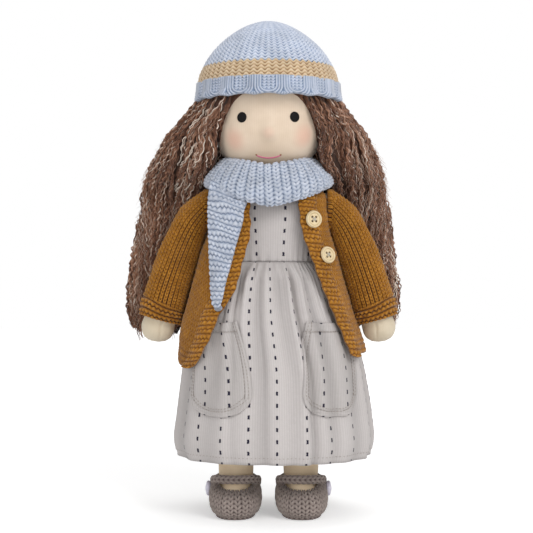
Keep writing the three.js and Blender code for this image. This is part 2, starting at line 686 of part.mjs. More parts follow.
// Closed form of the shoe, with off as the change of its walls
function upperForm(side, off, lowZ) {
  const curve = curveThrough(UPPER.map(([y, width, top]) => [width, top, y]));
  const count = 9;
  const rows = Array.from({ length: count }, (_, i) => {
    const station = curve.getPoint(i / (count - 1));
    const inward = (i / (count - 1) - 0.5) * 2;
    return (angle) => {
      const halfWidth = Math.max(0.5, station.x + off);
      const halfHeight = (station.y - lowZ) / 2 + off;
      return vec(
        side * LEG_X + halfWidth * power(Math.cos(angle), 2 / UPPER_ROUNDNESS),
        station.z - off * inward,
        lowZ + (station.y - lowZ) / 2 + halfHeight * power(Math.sin(angle), 2 / UPPER_ROUNDNESS),
      );
    };
  });
  const ends = [UPPER[0], UPPER.at(-1)].map(([y, , top], i) => {
    const outward = i ? -1 : 1;
    return pointRow(vec(side * LEG_X, y + outward * (off + 0.6), (top + lowZ) / 2));
  });
  return fromRows([ends[0], ...rows, ends[1]], 14);
}

function makeShoeUpper(side) {
  const lowZ = SOLE_THICKNESS + GAP;
  const mouth = new THREE.CylinderGeometry(1, 1, FAR, 16);
  mouth.rotateX(Math.PI / 2);
  mouth.scale(MOUTH_HALF_WIDTH, (MOUTH_BACK_Y - MOUTH_FRONT_Y) / 2, 1);
  mouth.translate(side * LEG_X, (MOUTH_BACK_Y + MOUTH_FRONT_Y) / 2, FAR / 2 + 14);
  const x = side * LEG_X;
  const ankleRoom = ANKLE_RADIUS + ANKLE_EASE;
  const ankle = new THREE.CylinderGeometry(ankleRoom, ankleRoom, FAR, 16);
  ankle.rotateX(Math.PI / 2);
  ankle.translate(x, 0, FAR / 2 + lowZ + 6);
  return cut(
    upperForm(side, 0, lowZ - UPPER_TUCK),
    upperForm(side, -CROCHET, lowZ - UPPER_TUCK),
    closed(mouth),
    closed(ankle),
    block(x - FAR, x + FAR, -FAR, FAR, -FAR, lowZ),
  );
}

// The strap runs over the instep from one edge of the upper to the other
function makeStrap(side) {
  const x = side * LEG_X;
  const [endY, endZ] = STRAP_END;
  const path = new THREE.CatmullRomCurve3([
    vec(x - STRAP_REACH, endY, endZ), vec(x - STRAP_REACH * 0.82, mix(endY, STRAP_FRONT_Y, 0.55), STRAP_Z),
    vec(x, STRAP_FRONT_Y, STRAP_Z),
    vec(x + STRAP_REACH * 0.82, mix(endY, STRAP_FRONT_Y, 0.55), STRAP_Z), vec(x + STRAP_REACH, endY, endZ),
  ]);
  const steps = 10;
  const rows = Array.from({ length: steps + 1 }, (_, i) => {
    const centre = path.getPoint(i / steps);
    const along = path.getTangent(i / steps);
    const out = vec(along.y, -along.x, 0).normalize();
    return (angle) => centre.clone()
      .addScaledVector(out, STRAP_THICKNESS / 2 * power(Math.cos(angle), 0.6))
      .add(vec(0, 0, STRAP_HEIGHT / 2 * power(Math.sin(angle), 0.6)));
  });
  return fromRows([pointRow(path.getPoint(0)), ...rows, pointRow(path.getPoint(1))], 8);
}

function makeShoeButton(side) {
  const steps = 5;
  const dome = [[0, SHOE_BUTTON_HEIGHT]];
  for (let i = 1; i <= steps; i += 1) {
    const angle = Math.PI / 2 * i / steps;
    dome.push([Math.sin(angle) * SHOE_BUTTON_RADIUS, Math.cos(angle) * (SHOE_BUTTON_HEIGHT - 1) + 1]);
  }
  dome.push([SHOE_BUTTON_RADIUS, 0], [0, 0]);
  const geometry = revolve(dome, 14);
  geometry.rotateY(side * Math.PI / 2);
  const sideOfShoe = Math.max(...UPPER.map(([, width]) => width));
  geometry.translate(side * (LEG_X + sideOfShoe + GAP), SHOE_BUTTON_Y, SHOE_BUTTON_Z);
  return geometry;
}

// Bodice: one layer of cotton over the torso, with round armholes
function makeBodice() {
  const low = shareWhere(torso, 'z', WAIST_Z - GAP);
  const top = shareWhere(torso, 'z', BODICE_TOP_Z);
  const shares = [...torsoShares.filter((share) => share > low && share < top), top];
  const layer = (off) => shares.map((share) => (angle) => {
    const point = onBody(torso, share, angle, off);
    point.z = Math.max(point.z, WAIST_Z + GAP / 2);
    return point;
  });
  const shell = fromRows([...layer(GAP + COTTON), ...layer(GAP).reverse()], TORSO_COLUMNS, true);
  return cut(shell, crossBar(ARM_ROOT_RADIUS + ARMHOLE_CLEARANCE, -FAR, FAR));
}

// Depth of the gathers by height: sharp at the waist, shallow at the hip, wide at the hem
function fluteDepth(z) {
  if (z > FLUTE_HIP_Z) {
    return mix(FLUTE_DEPTH_HIP, FLUTE_DEPTH_WAIST, (z - FLUTE_HIP_Z) / (WAIST_Z - FLUTE_HIP_Z));
  }
  const hemZ = SKIRT[0][2];
  return mix(FLUTE_DEPTH_HEM, FLUTE_DEPTH_HIP, Math.sqrt((z - hemZ) / (FLUTE_HIP_Z - hemZ)));
}

// One half of the skirt, in front of its side seams or behind them
function makeSkirtHalf(side) {
  const shares = sharesBetween(skirt, SKIRT[0][2], SKIRT.at(-1)[2], 6);
  const layer = (inward) => shares.map((share) => (angle) => {
    const { z } = skirt.getPoint(share);
    const flute = fluteDepth(z) * Math.cos(FLUTES * angle);
    const point = onBody(skirt, share, angle, 0);
    const size = skirt.getPoint(share);
    const spread = 1 + (flute - inward) / Math.hypot(point.x, point.y);
    return vec(point.x * spread, point.y * spread, size.z);
  });
  const round = fromRows([...layer(0), ...layer(COTTON).reverse()], FLUTES * FLUTE_COLUMNS, true);
  const otherHalf = side > 0 ? [-FAR, GAP / 2] : [-GAP / 2, FAR];
  return cut(round, block(-FAR, FAR, ...otherHalf, 0, FAR));
}

// Patch pocket, lying on the crests of the skirt's folds
function makePocket(side) {
  const middleShare = shareWhere(skirt, 'z', (POCKET_TOP_Z + POCKET_LOW_Z) / 2);
  const middle = frontAngle(skirt, middleShare, side * POCKET_X);
  const halfAngle = POCKET_WIDTH / 2 / skirt.getPoint(middleShare).x;
  const roundFrom = 0.66;
  return panel(6, 8, (across, down, through) => {
    const z = mix(POCKET_TOP_Z, POCKET_LOW_Z, down);
    const share = shareWhere(skirt, 'z', z);
    const rounding = Math.max(0, (down - roundFrom) / (1 - roundFrom));
    const width = halfAngle * (1 - 0.92 * rounding ** 3) ** 0.5;
    const angle = middle + (across * 2 - 1) * width;
    const hem = POCKET_TOP_Z - z < POCKET_HEM ? POCKET_HEM_EXTRA : 0;
    const crest = fluteDepth(z);
    const point = onBody(skirt, share, angle, 0);
    const radius = Math.hypot(point.x, point.y);
    const spread = 1 + (crest + GAP + through * (COTTON + hem)) / radius;
    return vec(point.x * spread, point.y * spread, z);
  });
}

// Cardigan. Its front edge leans outwards to the hem, and the hem hangs lowest at the front corners.
const edges = {
  1: curveThrough(FRONT_EDGE_LEFT.map(([x, z]) => [x, z])),
  [-1]: curveThrough(FRONT_EDGE_RIGHT.map(([x, z]) => [x, z])),
};

function edgeX(side, z) {
  const curve = edges[side];
  const low = Math.min(curve.getPoint(0).y, curve.getPoint(1).y);
  const high = Math.max(curve.getPoint(0).y, curve.getPoint(1).y);
  return curve.getPoint(shareWhere(curve, 'y', Math.min(Math.max(z, low), high))).x;
}

const armholes = () => crossBar(ARM_ROOT_RADIUS + ARMHOLE_CLEARANCE, -FAR, FAR);

// Point on one front at a height: inset is the distance in X back from the front edge
function onFront(side, z, inset, off) {
  const share = shareWhere(cardigan, 'z', z);
  return onBody(cardigan, share, frontAngle(cardigan, share, side * (edgeX(side, z) + inset)), off);
}

function makeCardiganFront(side) {
  const lowEdge = side > 0 ? FRONT_EDGE_LEFT : FRONT_EDGE_RIGHT;
  const tipZ = lowEdge.at(-1)[1] + 1.5;
  const seam = GAP / 2 / CARDIGAN[5][1];
  const shell = panel(5, FRONT_ROWS, (across, up, through) => {
    const lowZ = mix(HEM_SIDE_Z, tipZ, across);
    const highZ = mix(NECK_BACK_Z, lowEdge[0][1] + 5, across);
    const z = mix(lowZ, highZ, up);
    const share = shareWhere(cardigan, 'z', z);
    const size = cardigan.getPoint(share);
    const x = Math.min(edgeX(side, z) + BAND_WIDTH + GAP, size.x * 0.995);
    const inner = frontAngle(cardigan, share, x);
    const angle = mix(-seam * 2, inner, across);
    const point = onBody(cardigan, share, angle, (through - 1) * KNIT);
    point.x *= side;
    return point;
  });
  return cut(shell, armholes());
}

function makeCardiganBand(side) {
  const edge = side > 0 ? FRONT_EDGE_LEFT : FRONT_EDGE_RIGHT;
  return panel(2, FRONT_ROWS, (across, up, through) => {
    const z = mix(edge.at(-1)[1] + across * 1.5, edge[0][1] + across * 5, up);
    const share = shareWhere(cardigan, 'z', z);
    const off = through ? BAND_EXTRA : -KNIT;
    const x = Math.min(edgeX(side, z) + across * BAND_WIDTH, cardigan.getPoint(share).x * 0.99);
    const point = onBody(cardigan, share, frontAngle(cardigan, share, x), off);
    point.x *= side;
    return point;
  });
}

function makeCardiganBack() {
  const seam = GAP / CARDIGAN[5][1];
  const shell = panel(12, 9, (across, up, through) => {
    const hem = mix(HEM_SIDE_Z, HEM_BACK_Z, Math.sin(across * Math.PI));
    const z = mix(hem, NECK_BACK_Z, up);
    const share = shareWhere(cardigan, 'z', z);
    const angle = mix(seam, Math.PI - seam, across);
    return onBody(cardigan, share, angle, (through - 1) * KNIT);
  });
  return cut(shell, armholes());
}

// A round wooden button with a raised rim and four holes
function makeButton(x, z) {
  const profile = [
    [0, BUTTON_THICKNESS - BUTTON_RIM_HEIGHT],
    [BUTTON_RADIUS - BUTTON_RIM - 0.6, BUTTON_THICKNESS - BUTTON_RIM_HEIGHT],
    [BUTTON_RADIUS - BUTTON_RIM, BUTTON_THICKNESS],
    [BUTTON_RADIUS - 0.4, BUTTON_THICKNESS],
    [BUTTON_RADIUS, BUTTON_THICKNESS - 0.6],
    [BUTTON_RADIUS, 0.5],
    [BUTTON_RADIUS - 0.6, 0],
    [0, 0],
  ];
  const holes = [[1, 1], [1, -1], [-1, 1], [-1, -1]].map(([across, up]) => {
    const hole = new THREE.CylinderGeometry(BUTTON_HOLE_RADIUS, BUTTON_HOLE_RADIUS, BUTTON_THICKNESS * 3, 6);
    hole.rotateX(Math.PI / 2);
    hole.translate(across * BUTTON_HOLE_SPREAD, up * BUTTON_HOLE_SPREAD, 0);
    return closed(hole);
  });
  const button = cut(revolve(profile, 16), ...holes);
  const seat = onFront(1, z, x - edgeX(1, z), BAND_EXTRA + GAP);
  const [beside, above] = [
    onFront(1, z, x + 1 - edgeX(1, z), BAND_EXTRA + GAP), onFront(1, z + 1, x - edgeX(1, z + 1), BAND_EXTRA + GAP),
  ];
  const outward = beside.sub(seat).cross(above.sub(seat)).normalize();
  if (outward.y > 0) outward.negate();
  button.applyQuaternion(new THREE.Quaternion().setFromUnitVectors(vec(0, 0, 1), outward));
  button.translate(seat.x + outward.x * GAP, seat.y + outward.y * GAP, seat.z + outward.z * GAP);
  return button;
}

// Scarf wrap: rows of its section, each by how far it is inside the widest outline, and height. High over the shoulders, low in front.
function makeScarfWrap() {
  const row = (insetX, insetY, share) => (angle) => {
    const sideways = Math.abs(Math.cos(angle));
    const low = SCARF_LOW_Z + SCARF_SHOULDER_RISE * sideways ** 1.4;
    const high = SCARF_TOP_Z + SCARF_SIDE_RISE * sideways;
    return vec(
      (SCARF_HALF_WIDTH - insetX) * Math.cos(angle),
      (SCARF_HALF_DEPTH - insetY) * Math.sin(angle),
      mix(low, high, share),
    );
  };
  return fromRows([
    row(8.2, 8.2, 0), row(2, 2, 0.02), row(0, 0, 0.2), row(2.6, 1.8, 0.5), row(9, 6.5, 0.82), row(15.5, 12, 1),
    row(18.6, 15.5, 0.92), row(15, 12.5, 0.5),
  ], 28, true);
}

// Scarf end: a tapering strip in front of the cardigan, under the edge of the wrap
const tailLeft = curveThrough(TAIL_LEFT_EDGE);
const tailRight = curveThrough(TAIL_RIGHT_EDGE);

function makeScarfTail() {
  return panel(4, 8, (across, down, through) => {
    const left = tailLeft.getPoint(down);
    const right = tailRight.getPoint(down);
    const x = -mix(left.x, right.x, across);
    const z = mix(left.y, right.y, across);
    const share = shareWhere(cardigan, 'z', z);
    const onCloth = Math.abs(onBody(cardigan, share, frontAngle(cardigan, share, x), 0).y) + BAND_EXTRA + GAP;
    const hanging = TAIL_STANDS_OFF - 0.35 * Math.max(0, Math.abs(x) - 20);
    return vec(x, -Math.max(onCloth, hanging) - through * TAIL_THICKNESS, z);
  });
}

const COLOURS = {
  skin: ['#E3D5BF', 0.9],
  wool: ['#E9E2D2', 1],
  thread: ['#D8CDB8', 0.9],
  eye: ['#101010', 0.35],
  mouth: ['#D96C92', 0.8],
  hair: ['#7B5646', 0.85],
  blue: ['#BAC8E0', 0.95],
  peach: ['#E6C79F', 0.95],
  cotton: ['#CBC5C2', 0.9],
  ochre: ['#A9742A', 0.95],
  wood: ['#DCC9A2', 0.55],
  taupe: ['#8F7F78', 0.95],
  lilac: ['#CFCBDB', 0.5],
};

const doll = new THREE.Group();

function add(name, colour, geometry) {
  const [hex, roughness] = COLOURS[colour];
  const material = new THREE.MeshStandardMaterial({ color: hex, roughness, metalness: 0 });
  const mesh = new THREE.Mesh(geometry, material);
  mesh.name = name;
  doll.add(mesh);
}

add('torso_skin', 'skin', makeTorsoSkin());
add('torso_filling', 'wool', makeTorsoFilling());
add('head_skin', 'skin', makeHeadSkin());
add('head_core', 'wool', makeHeadCore());
add('neck_tie', 'thread', makeNeckTie());
add('mouth_stitch', 'mouth', makeMouth());
add('hair_cap', 'hair', makeHairCap());
add('hair_back', 'hair', makeHair(HAIR_BACK, 1, 16));
add('hat_crown', 'blue', makeHatCrown());
add('hat_stripe', 'peach', makeHatStripe());
add('hat_brim', 'blue', makeHatBrim());
add('scarf_wrap', 'blue', makeScarfWrap());
add('scarf_tail', 'blue', makeScarfTail());
add('dress_bodice', 'cotton', makeBodice());
add('dress_skirt_front', 'cotton', makeSkirtHalf(-1));
add('dress_skirt_back', 'cotton', makeSkirtHalf(1));
add('cardigan_back', 'ochre', makeCardiganBack());
for (const [name, [x, z]] of Object.entries(BUTTONS)) add(`cardigan_button_${name}`, 'wood', makeButton(x, z));

for (const [name, side] of [['left', 1], ['right', -1]]) {
  add(`eye_${name}`, 'eye', makeEye(side));
  add(`hair_${name}`, 'hair', makeHair(HAIR_SIDE, side, 14));
  add(`arm_skin_${name}`, 'skin', makeArmSkin(side));
  add(`arm_filling_${name}`, 'wool', makeArmFilling(side));
  add(`leg_skin_${name}`, 'skin', makeLegSkin(side));
  add(`leg_filling_${name}`, 'wool', makeLegFilling(side));
  add(`cardigan_front_${name}`, 'ochre', makeCardiganFront(side));
  add(`cardigan_band_${name}`, 'ochre', makeCardiganBand(side));
  add(`cardigan_sleeve_${name}`, 'ochre', makeSleeve(side));
  add(`cardigan_cuff_${name}`, 'ochre', makeCuff(side));
  add(`dress_pocket_${name}`, 'cotton', makePocket(side));
  add(`shoe_sole_${name}`, 'taupe', makeSole(side));
  add(`shoe_upper_${name}`, 'taupe', makeShoeUpper(side));
  add(`shoe_strap_${name}`, 'taupe', makeStrap(side));
  add(`shoe_button_${name}`, 'lilac', makeShoeButton(side));
}

export default doll;
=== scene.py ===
# %% [markdown]
# # A dressed cloth doll, surface by surface
#
# The doll is hand-sewn: a jersey body stuffed with wool, crimped mohair hair, knitted clothes, a gathered
# cotton dress and crocheted shoes. Its solid parts, joints and sizes come as a fixed frame. This lesson
# makes what the eye meets: every stitch, fold and lock of hair is worked out with numpy as a surface or a
# tube, in millimetres, and handed to Blender in metres.

# %% Load the frame
import math

import bpy
import numpy as np
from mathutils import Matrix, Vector


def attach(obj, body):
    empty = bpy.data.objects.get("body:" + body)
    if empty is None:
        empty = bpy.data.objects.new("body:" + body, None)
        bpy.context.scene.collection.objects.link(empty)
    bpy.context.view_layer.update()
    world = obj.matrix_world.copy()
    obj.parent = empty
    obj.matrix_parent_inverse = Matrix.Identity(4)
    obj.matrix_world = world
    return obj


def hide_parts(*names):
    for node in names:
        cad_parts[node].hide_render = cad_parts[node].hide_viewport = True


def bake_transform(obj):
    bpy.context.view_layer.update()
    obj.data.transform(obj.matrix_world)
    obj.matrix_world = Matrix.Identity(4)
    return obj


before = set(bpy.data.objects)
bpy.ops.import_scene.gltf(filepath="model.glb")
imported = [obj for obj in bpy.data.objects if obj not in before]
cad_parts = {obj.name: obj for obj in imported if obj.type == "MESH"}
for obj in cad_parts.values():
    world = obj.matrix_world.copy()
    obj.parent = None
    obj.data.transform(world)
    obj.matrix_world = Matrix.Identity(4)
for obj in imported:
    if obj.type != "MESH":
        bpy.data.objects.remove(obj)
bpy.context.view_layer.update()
MM = 0.001
TURN = 2 * np.pi
SIDES = {"left": 1, "right": -1}

# %% [markdown]
# ## Camera, floor and light
#
# The view is level, one metre in front of the doll, at about half its height, through a long lens.
# A wide soft lamp at the upper right shapes the folds, a weaker one at the left fills in, one above and one
# below lift the shadows, and a pale world lights the rest. The backdrop is white only where the camera looks
# at it, so that it adds no light.

# %% Camera
CAMERA_DISTANCE = 1.05
CAMERA_HEIGHT = 0.1992
CAMERA_SIDE = -0.0016
CAMERA_LENS = 86.7
camera_data = bpy.data.cameras.new("camera")
camera_data.lens = CAMERA_LENS
camera_data.sensor_width = 36
camera = bpy.data.objects.new("camera", camera_data)
camera.location = (CAMERA_SIDE, -CAMERA_DISTANCE, CAMERA_HEIGHT)
camera.rotation_euler = (math.radians(90), 0, 0)
bpy.context.scene.collection.objects.link(camera)
bpy.context.scene.camera = camera
bpy.context.scene.view_settings.view_transform = "Standard"


# %% [markdown]
# ## Small helpers
#
# Colours are written as sRGB hex and turned to the linear values that sockets expect. One function adds a
# node with its settings and links, and one carries a range of values over to another. Lamps are soft squares
# aimed at the doll's middle.

# %% Helpers for colours, nodes and lamps
def linear(hex_colour):
    """An sRGB hex colour as linear RGBA: the low part is divided by 12.92, and the rest follows a power."""
    srgb = np.array([int(hex_colour[i:i + 2], 16) for i in (1, 3, 5)]) / 255
    rgb = np.where(srgb <= 0.04045, srgb / 12.92, ((srgb + 0.055) / 1.055) ** 2.4)
    return (*rgb.tolist(), 1.0)


def add(tree, kind, inputs=None, **settings):
    """Adds a node: settings are its own values, inputs names sockets and gives each a value, a socket to link,
    or a node whose first output is linked."""
    made = tree.nodes.new("ShaderNode" + kind)
    for name, value in settings.items():
        setattr(made, name, value)
    for socket, value in (inputs or {}).items():
        if isinstance(value, bpy.types.Node):
            value = value.outputs[0]
        if isinstance(value, bpy.types.NodeSocket):
            tree.links.new(value, made.inputs[socket])
        else:
            made.inputs[socket].default_value = value
    return made


def new_material(name):
    """An empty material and its tree of nodes."""
    material = bpy.data.materials.new(name)
    material.use_nodes = True
    material.node_tree.nodes.clear()
    return material, material.node_tree


def remap(tree, value, low, high, to_low, to_high, **settings):
    """Carries the range from low to high over to the one from to_low to to_high, and stays level beyond it."""
    return add(tree, "MapRange", {"Value": value, "From Min": low, "From Max": high, "To Min": to_low,
                                  "To Max": to_high}, **settings)


def lamp(name, place, size, watts):
    """A square area lamp that looks at the middle of the doll."""
    data = bpy.data.lights.new(name, "AREA")
    data.size = size
    data.energy = watts
    made = bpy.data.objects.new(name, data)
    made.location = place
    aim = Vector((0, 0, 0.2)) - Vector(place)
    made.rotation_euler = aim.to_track_quat("-Z", "Y").to_euler()
    bpy.context.scene.collection.objects.link(made)


# %% Floor, world and lamps
lamp("key_lamp", (0.9, -1.3, 1.2), 0.8, 13.5)
lamp("fill_lamp", (-1.3, -1.1, 0.6), 1.2, 4.5)
lamp("top_lamp", (0.1, 0.5, 1.6), 1.2, 6)
lamp("low_lamp", (0.1, -1.5, 0.12), 0.9, 5.5)

world = bpy.data.worlds.new("pale_room")
bpy.context.scene.world = world
world.use_nodes = True
world.node_tree.nodes.clear()
rays = add(world.node_tree, "LightPath").outputs
seen = add(world.node_tree, "Math", {0: rays["Is Camera Ray"], 1: rays["Is Glossy Ray"]}, operation="MAXIMUM")
strength = remap(world.node_tree, seen, 0, 1, 0.5, 1)
sky = add(world.node_tree, "Background", {"Color": (1, 1, 1, 1), "Strength": strength})
add(world.node_tree, "OutputWorld", {"Surface": sky})

floor_mesh = bpy.data.meshes.new("floor")
floor_mesh.from_pydata([(-3, -3, 0), (3, -3, 0), (3, 3, 0), (-3, 3, 0)], [], [(0, 1, 2, 3)])
floor = bpy.data.objects.new("floor", floor_mesh)
bpy.context.scene.collection.objects.link(floor)


def pale_floor():
    """White paper: the camera sees it a little lifted, more so far from the doll, where the lamps fall off, so
    that it runs into the white room. To everything else it is plain matt white."""
    material, tree = new_material("floor_paper")
    matt = add(tree, "BsdfDiffuse", {"Color": linear("#F4F4F4")})
    place = add(tree, "TexCoord").outputs["Object"]
    distance = add(tree, "VectorMath", {0: place}, operation="LENGTH").outputs["Value"]
    glow = add(tree, "Emission", {"Color": (1, 1, 1, 1), "Strength": remap(tree, distance, 0.35, 1.1, 0.36, 0.75)})
    lifted = add(tree, "AddShader", {0: matt, 1: glow})
    by_camera = add(tree, "LightPath").outputs["Is Camera Ray"]
    add(tree, "OutputMaterial", {"Surface": add(tree, "MixShader", {0: by_camera, 1: matt, 2: lifted})})
    return material


floor_mesh.materials.append(pale_floor())
print("stage: floor, world and four lamps")

# %% [markdown]
# ## From numpy grids to meshes
#
# A cloth surface is a grid of points: the rows run up it and the columns run round it, anticlockwise seen
# from above, so that the cross product of the two directions points outwards. A piece of cloth is a shell:
# a fine front grid, a back grid with few rows, and strips that join their edges. A stuffed piece is a stack
# of closed rings with a point at each end. Hair and thread are bundles of tubes.


# %% Meshes from arrays
def put_mesh(name, points, faces, material, uv=None, period=None, values=None):
    """A piece at the origin from points in millimetres and lists of faces. A closed mesh that comes out with
    a negative volume has all its faces turned. uv is one pair a point, and period is the span after which
    a closed surface's u starts again, so that the faces over that seam get the far value."""
    corners = [np.stack([f[:, 0], f[:, i], f[:, i + 1]], 1) for f in faces for i in range(1, f.shape[1] - 1)]
    flat = points[np.concatenate(corners)]
    if np.einsum("ij,ij->", flat[:, 0], np.cross(flat[:, 1], flat[:, 2])) < 0:
        faces = [f[:, ::-1] for f in faces]
    mesh = bpy.data.meshes.new(name)
    loops = np.concatenate([f.ravel() for f in faces]).astype(np.int32)
    counts = np.concatenate([np.full(len(f), f.shape[1]) for f in faces])
    mesh.vertices.add(len(points))
    mesh.vertices.foreach_set("co", (points * MM).astype(np.float32).ravel())
    mesh.loops.add(len(loops))
    mesh.loops.foreach_set("vertex_index", loops)
    mesh.polygons.add(len(counts))
    mesh.polygons.foreach_set("loop_start", np.concatenate([[0], np.cumsum(counts)[:-1]]).astype(np.int32))
    mesh.polygons.foreach_set("use_smooth", np.ones(len(counts), bool))
    mesh.update(calc_edges=True)
    mesh.validate()
    if uv is not None:
        corner = np.array(uv, float)[loops]
        if period:
            starts = np.concatenate([[0], np.cumsum(counts)[:-1]])
            far = np.repeat(np.maximum.reduceat(corner[:, 0], starts), counts)
            corner[:, 0] += period * (far - corner[:, 0] > period / 2)
        layer = mesh.uv_layers.new(name="flat_mm")
        layer.data.foreach_set("uv", corner.astype(np.float32).ravel())
    for title, value in (values or {}).items():
        layer = mesh.attributes.new(title, "FLOAT", "POINT")
        layer.data.foreach_set("value", value.astype(np.float32).ravel())
    mesh.materials.append(material)
    made = bpy.data.objects.new(name, mesh)
    bpy.context.scene.collection.objects.link(made)
    return made


def strip(grid, closed):
    """The four-cornered faces between the neighbours of a grid of point numbers."""
    if closed:
        grid = np.concatenate([grid, grid[:, :1]], axis=1)
    return np.stack([grid[:-1, :-1], grid[:-1, 1:], grid[1:, 1:], grid[1:, :-1]], -1).reshape(-1, 4)


def zipped(many, few):
    """Triangles that close the gap between a long column of points and a short one beside it."""
    reach = np.round(np.arange(len(many)) * (len(few) - 1) / (len(many) - 1)).astype(int)
    first = np.stack([many[:-1], many[1:], few[reach[:-1]]], 1)
    steps = np.flatnonzero(np.diff(reach))
    second = np.stack([many[steps + 1], few[reach[steps + 1]], few[reach[steps]]], 1)
    return [first, second]


def shell_faces(front, back, closed):
    """Faces of a cloth shell: both grids, the strips along their first and last rows, and zipped sides."""
    rows, cols = front.shape[:2]
    fine = np.arange(rows * cols).reshape(rows, cols)
    plain = rows * cols + np.arange(back.shape[0] * cols).reshape(-1, cols)
    faces = [
        strip(fine, closed), strip(plain, closed)[:, ::-1],
        strip(np.stack([plain[0], fine[0]]), closed), strip(np.stack([fine[-1], plain[-1]]), closed),
    ]
    if not closed:
        faces += zipped(fine[:, 0], plain[:, 0])
        faces += [f[:, ::-1] for f in zipped(fine[:, -1], plain[:, -1])]
    return faces


def unit(vectors):
    return vectors / np.maximum(np.linalg.norm(vectors, axis=-1, keepdims=True), 1e-9)


def normals(points, closed=True):
    """Unit normals of a grid: the cross product of its two directions, from neighbouring points. Those of a
    closed grid point away from the middle of its rows."""
    if closed:
        across = np.roll(points, -1, axis=1) - np.roll(points, 1, axis=1)
    else:
        across = np.gradient(points, axis=1)
    out = unit(np.cross(across, np.gradient(points, axis=0)))
    if closed:
        out *= np.sign(np.sum(out * (points - points.mean(axis=1, keepdims=True))))
    return out


def stuffed_faces(rings):
    """Faces of a stack of closed rings, whose last two points close the first and the last ring."""
    rows, cols = rings.shape[:2]
    grid = np.arange(rows * cols).reshape(rows, cols)
    low, high = rows * cols, rows * cols + 1
    fan = np.roll(grid, -1, axis=1)
    return [
        strip(grid, True),
        np.stack([fan[0], grid[0], np.full(cols, low)], 1),
        np.stack([grid[-1], fan[-1], np.full(cols, high)], 1),
    ]


# %% Curves through a few measured points
def through(x, xs, ys):
    """A smooth curve through points: in each interval, the cubic with the points' values whose slope at each
    point is that between its neighbours. Beyond the ends it stays level."""
    order = np.argsort(xs)
    xs, ys = np.asarray(xs, float)[order], np.asarray(ys, float)[order]
    slope = np.gradient(ys, xs)
    x = np.clip(x, xs[0], xs[-1])
    i = np.clip(np.searchsorted(xs, x) - 1, 0, len(xs) - 2)
    h = xs[i + 1] - xs[i]
    t = (x - xs[i]) / h
    return (
        (2 * t**3 - 3 * t**2 + 1) * ys[i] + (t**3 - 2 * t**2 + t) * h * slope[i]
        + (3 * t**2 - 2 * t**3) * ys[i + 1] + (t**3 - t**2) * h * slope[i + 1]
    )


def smooth_step(x, low, high):
    """0 below low, 1 above high, and the cubic 3t^2 - 2t^3 between them."""
    t = np.clip((x - low) / (high - low), 0, 1)
    return t * t * (3 - 2 * t)


def mix(a, b, t):
    return a + (b - a) * t


def turns(count):
    """count angles, evenly round a circle."""
    return np.arange(count) * TURN / count


def run_length(line):
    """The length of a line of points up to each of them."""
    return np.concatenate([[0], np.cumsum(np.linalg.norm(np.diff(line, axis=0), axis=1))])


def grid_of(*coordinates):
    return np.stack(np.broadcast_arrays(*coordinates), -1)


def round_grid(radius, angle, z):
    """Points round the upright axis: x is the radius times the cosine of the angle, y times its sine."""
    return np.stack([radius * np.cos(angle), radius * np.sin(angle), z], -1)


def half_sizes(table, z):
    """Half width and half depth at a height, from a table whose rows hold the two and their height."""
    return through(z, table[:, 2], table[:, 0]), through(z, table[:, 2], table[:, 1])


def power(value, exponent):
    return np.sign(value) * np.abs(value) ** exponent


def drift(x, y, seed, size):
    """A gentle unevenness between about -1 and 1: four sine waves in chosen directions, added."""
    pick = np.random.default_rng(seed)
    total = 0
    for _ in range(4):
        a, b, phase = pick.normal(0, 1 / size), pick.normal(0, 1 / size), pick.uniform(0, TURN)
        total = total + np.sin(TURN * (a * x + b * y) * 0.35 + phase)
    return total / 4


print("helpers ready")

# %% [markdown]
# ## Stitches as height
#
# Knitting could be a bump in the material, but seen close its outline and its gaps would stay flat. Here
# each stitch is a real rise of the surface. A stitch function takes the column u and the row v of the
# knitting, in stitches, and gives a height from 0, in the gap, to 1, on top of the yarn. The same height is
# kept on the mesh as the attribute "relief", from which the material paints shade into the gaps and a
# highlight onto the tops.


# %% Stitch heights
def stocking(u, v):
    """Plain knit: each stitch is a V of two ovals that lean apart, 0.24 of a stitch in half width and 0.72 in
    half length, so that they overlap the stitches above and below. The height is that of a round yarn."""
    height = np.zeros(np.broadcast(u, v).shape)
    for side in (-1, 1):
        for shift in (-1, 0, 1):
            y = v % 1 - 0.5 - shift
            x = u % 1 - 0.5 - side * (0.23 + 0.26 * y)
            height = np.maximum(height, np.sqrt(np.clip(1 - (x / 0.24) ** 2 - (y / 0.72) ** 2, 0, 1)))
    return height


def knobs(u, v, low=0.22):
    """Loose garter by hand: the ridges wander up and down by 0.12 of a row at every stitch, the bumps of
    every other row stand half a stitch over, and each has its own height."""
    wander = v + 0.12 * np.cos(TURN * u)
    x = (u + 0.5 * (np.floor(wander) % 2)) % 1 - 0.5
    y = wander % 1 - 0.5
    bump = np.sqrt(np.clip(1 - (x / 0.5) ** 2 - (y / 0.48) ** 2, 0, 1))
    link = np.sqrt(np.clip(1 - (y / 0.44) ** 2, 0, 1))
    return low + (1 - low) * np.maximum(bump, 0.6 * link) * uneven(u, wander, 81, 0.34)


def purl_rows(u, v, swell=0.38):
    """A yarn that runs along each row and rises once a stitch: a half round across the row, times 1 - swell
    to 1 along it, with a hole between the rows where it is low."""
    rise = 0.5 + 0.5 * np.cos(TURN * u)
    y = v % 1 - 0.5
    strand = np.sqrt(np.clip(1 - (y / 0.5) ** 2, 0, 1)) * (1 - swell + swell * rise)
    hole = np.exp(-((np.abs(y) - 0.5) / 0.2) ** 2) * (1 - rise) ** 2
    return np.clip(strand - 0.6 * hole, 0, 1)


def rib_columns(u, v):
    """Knit columns with narrow deep gaps between them: plain knit, lowered to nothing at a column's edge."""
    edge = np.abs(u % 1 - 0.5) * 2
    return stocking(u, v) * (1 - smooth_step(edge, 0.62, 0.96))


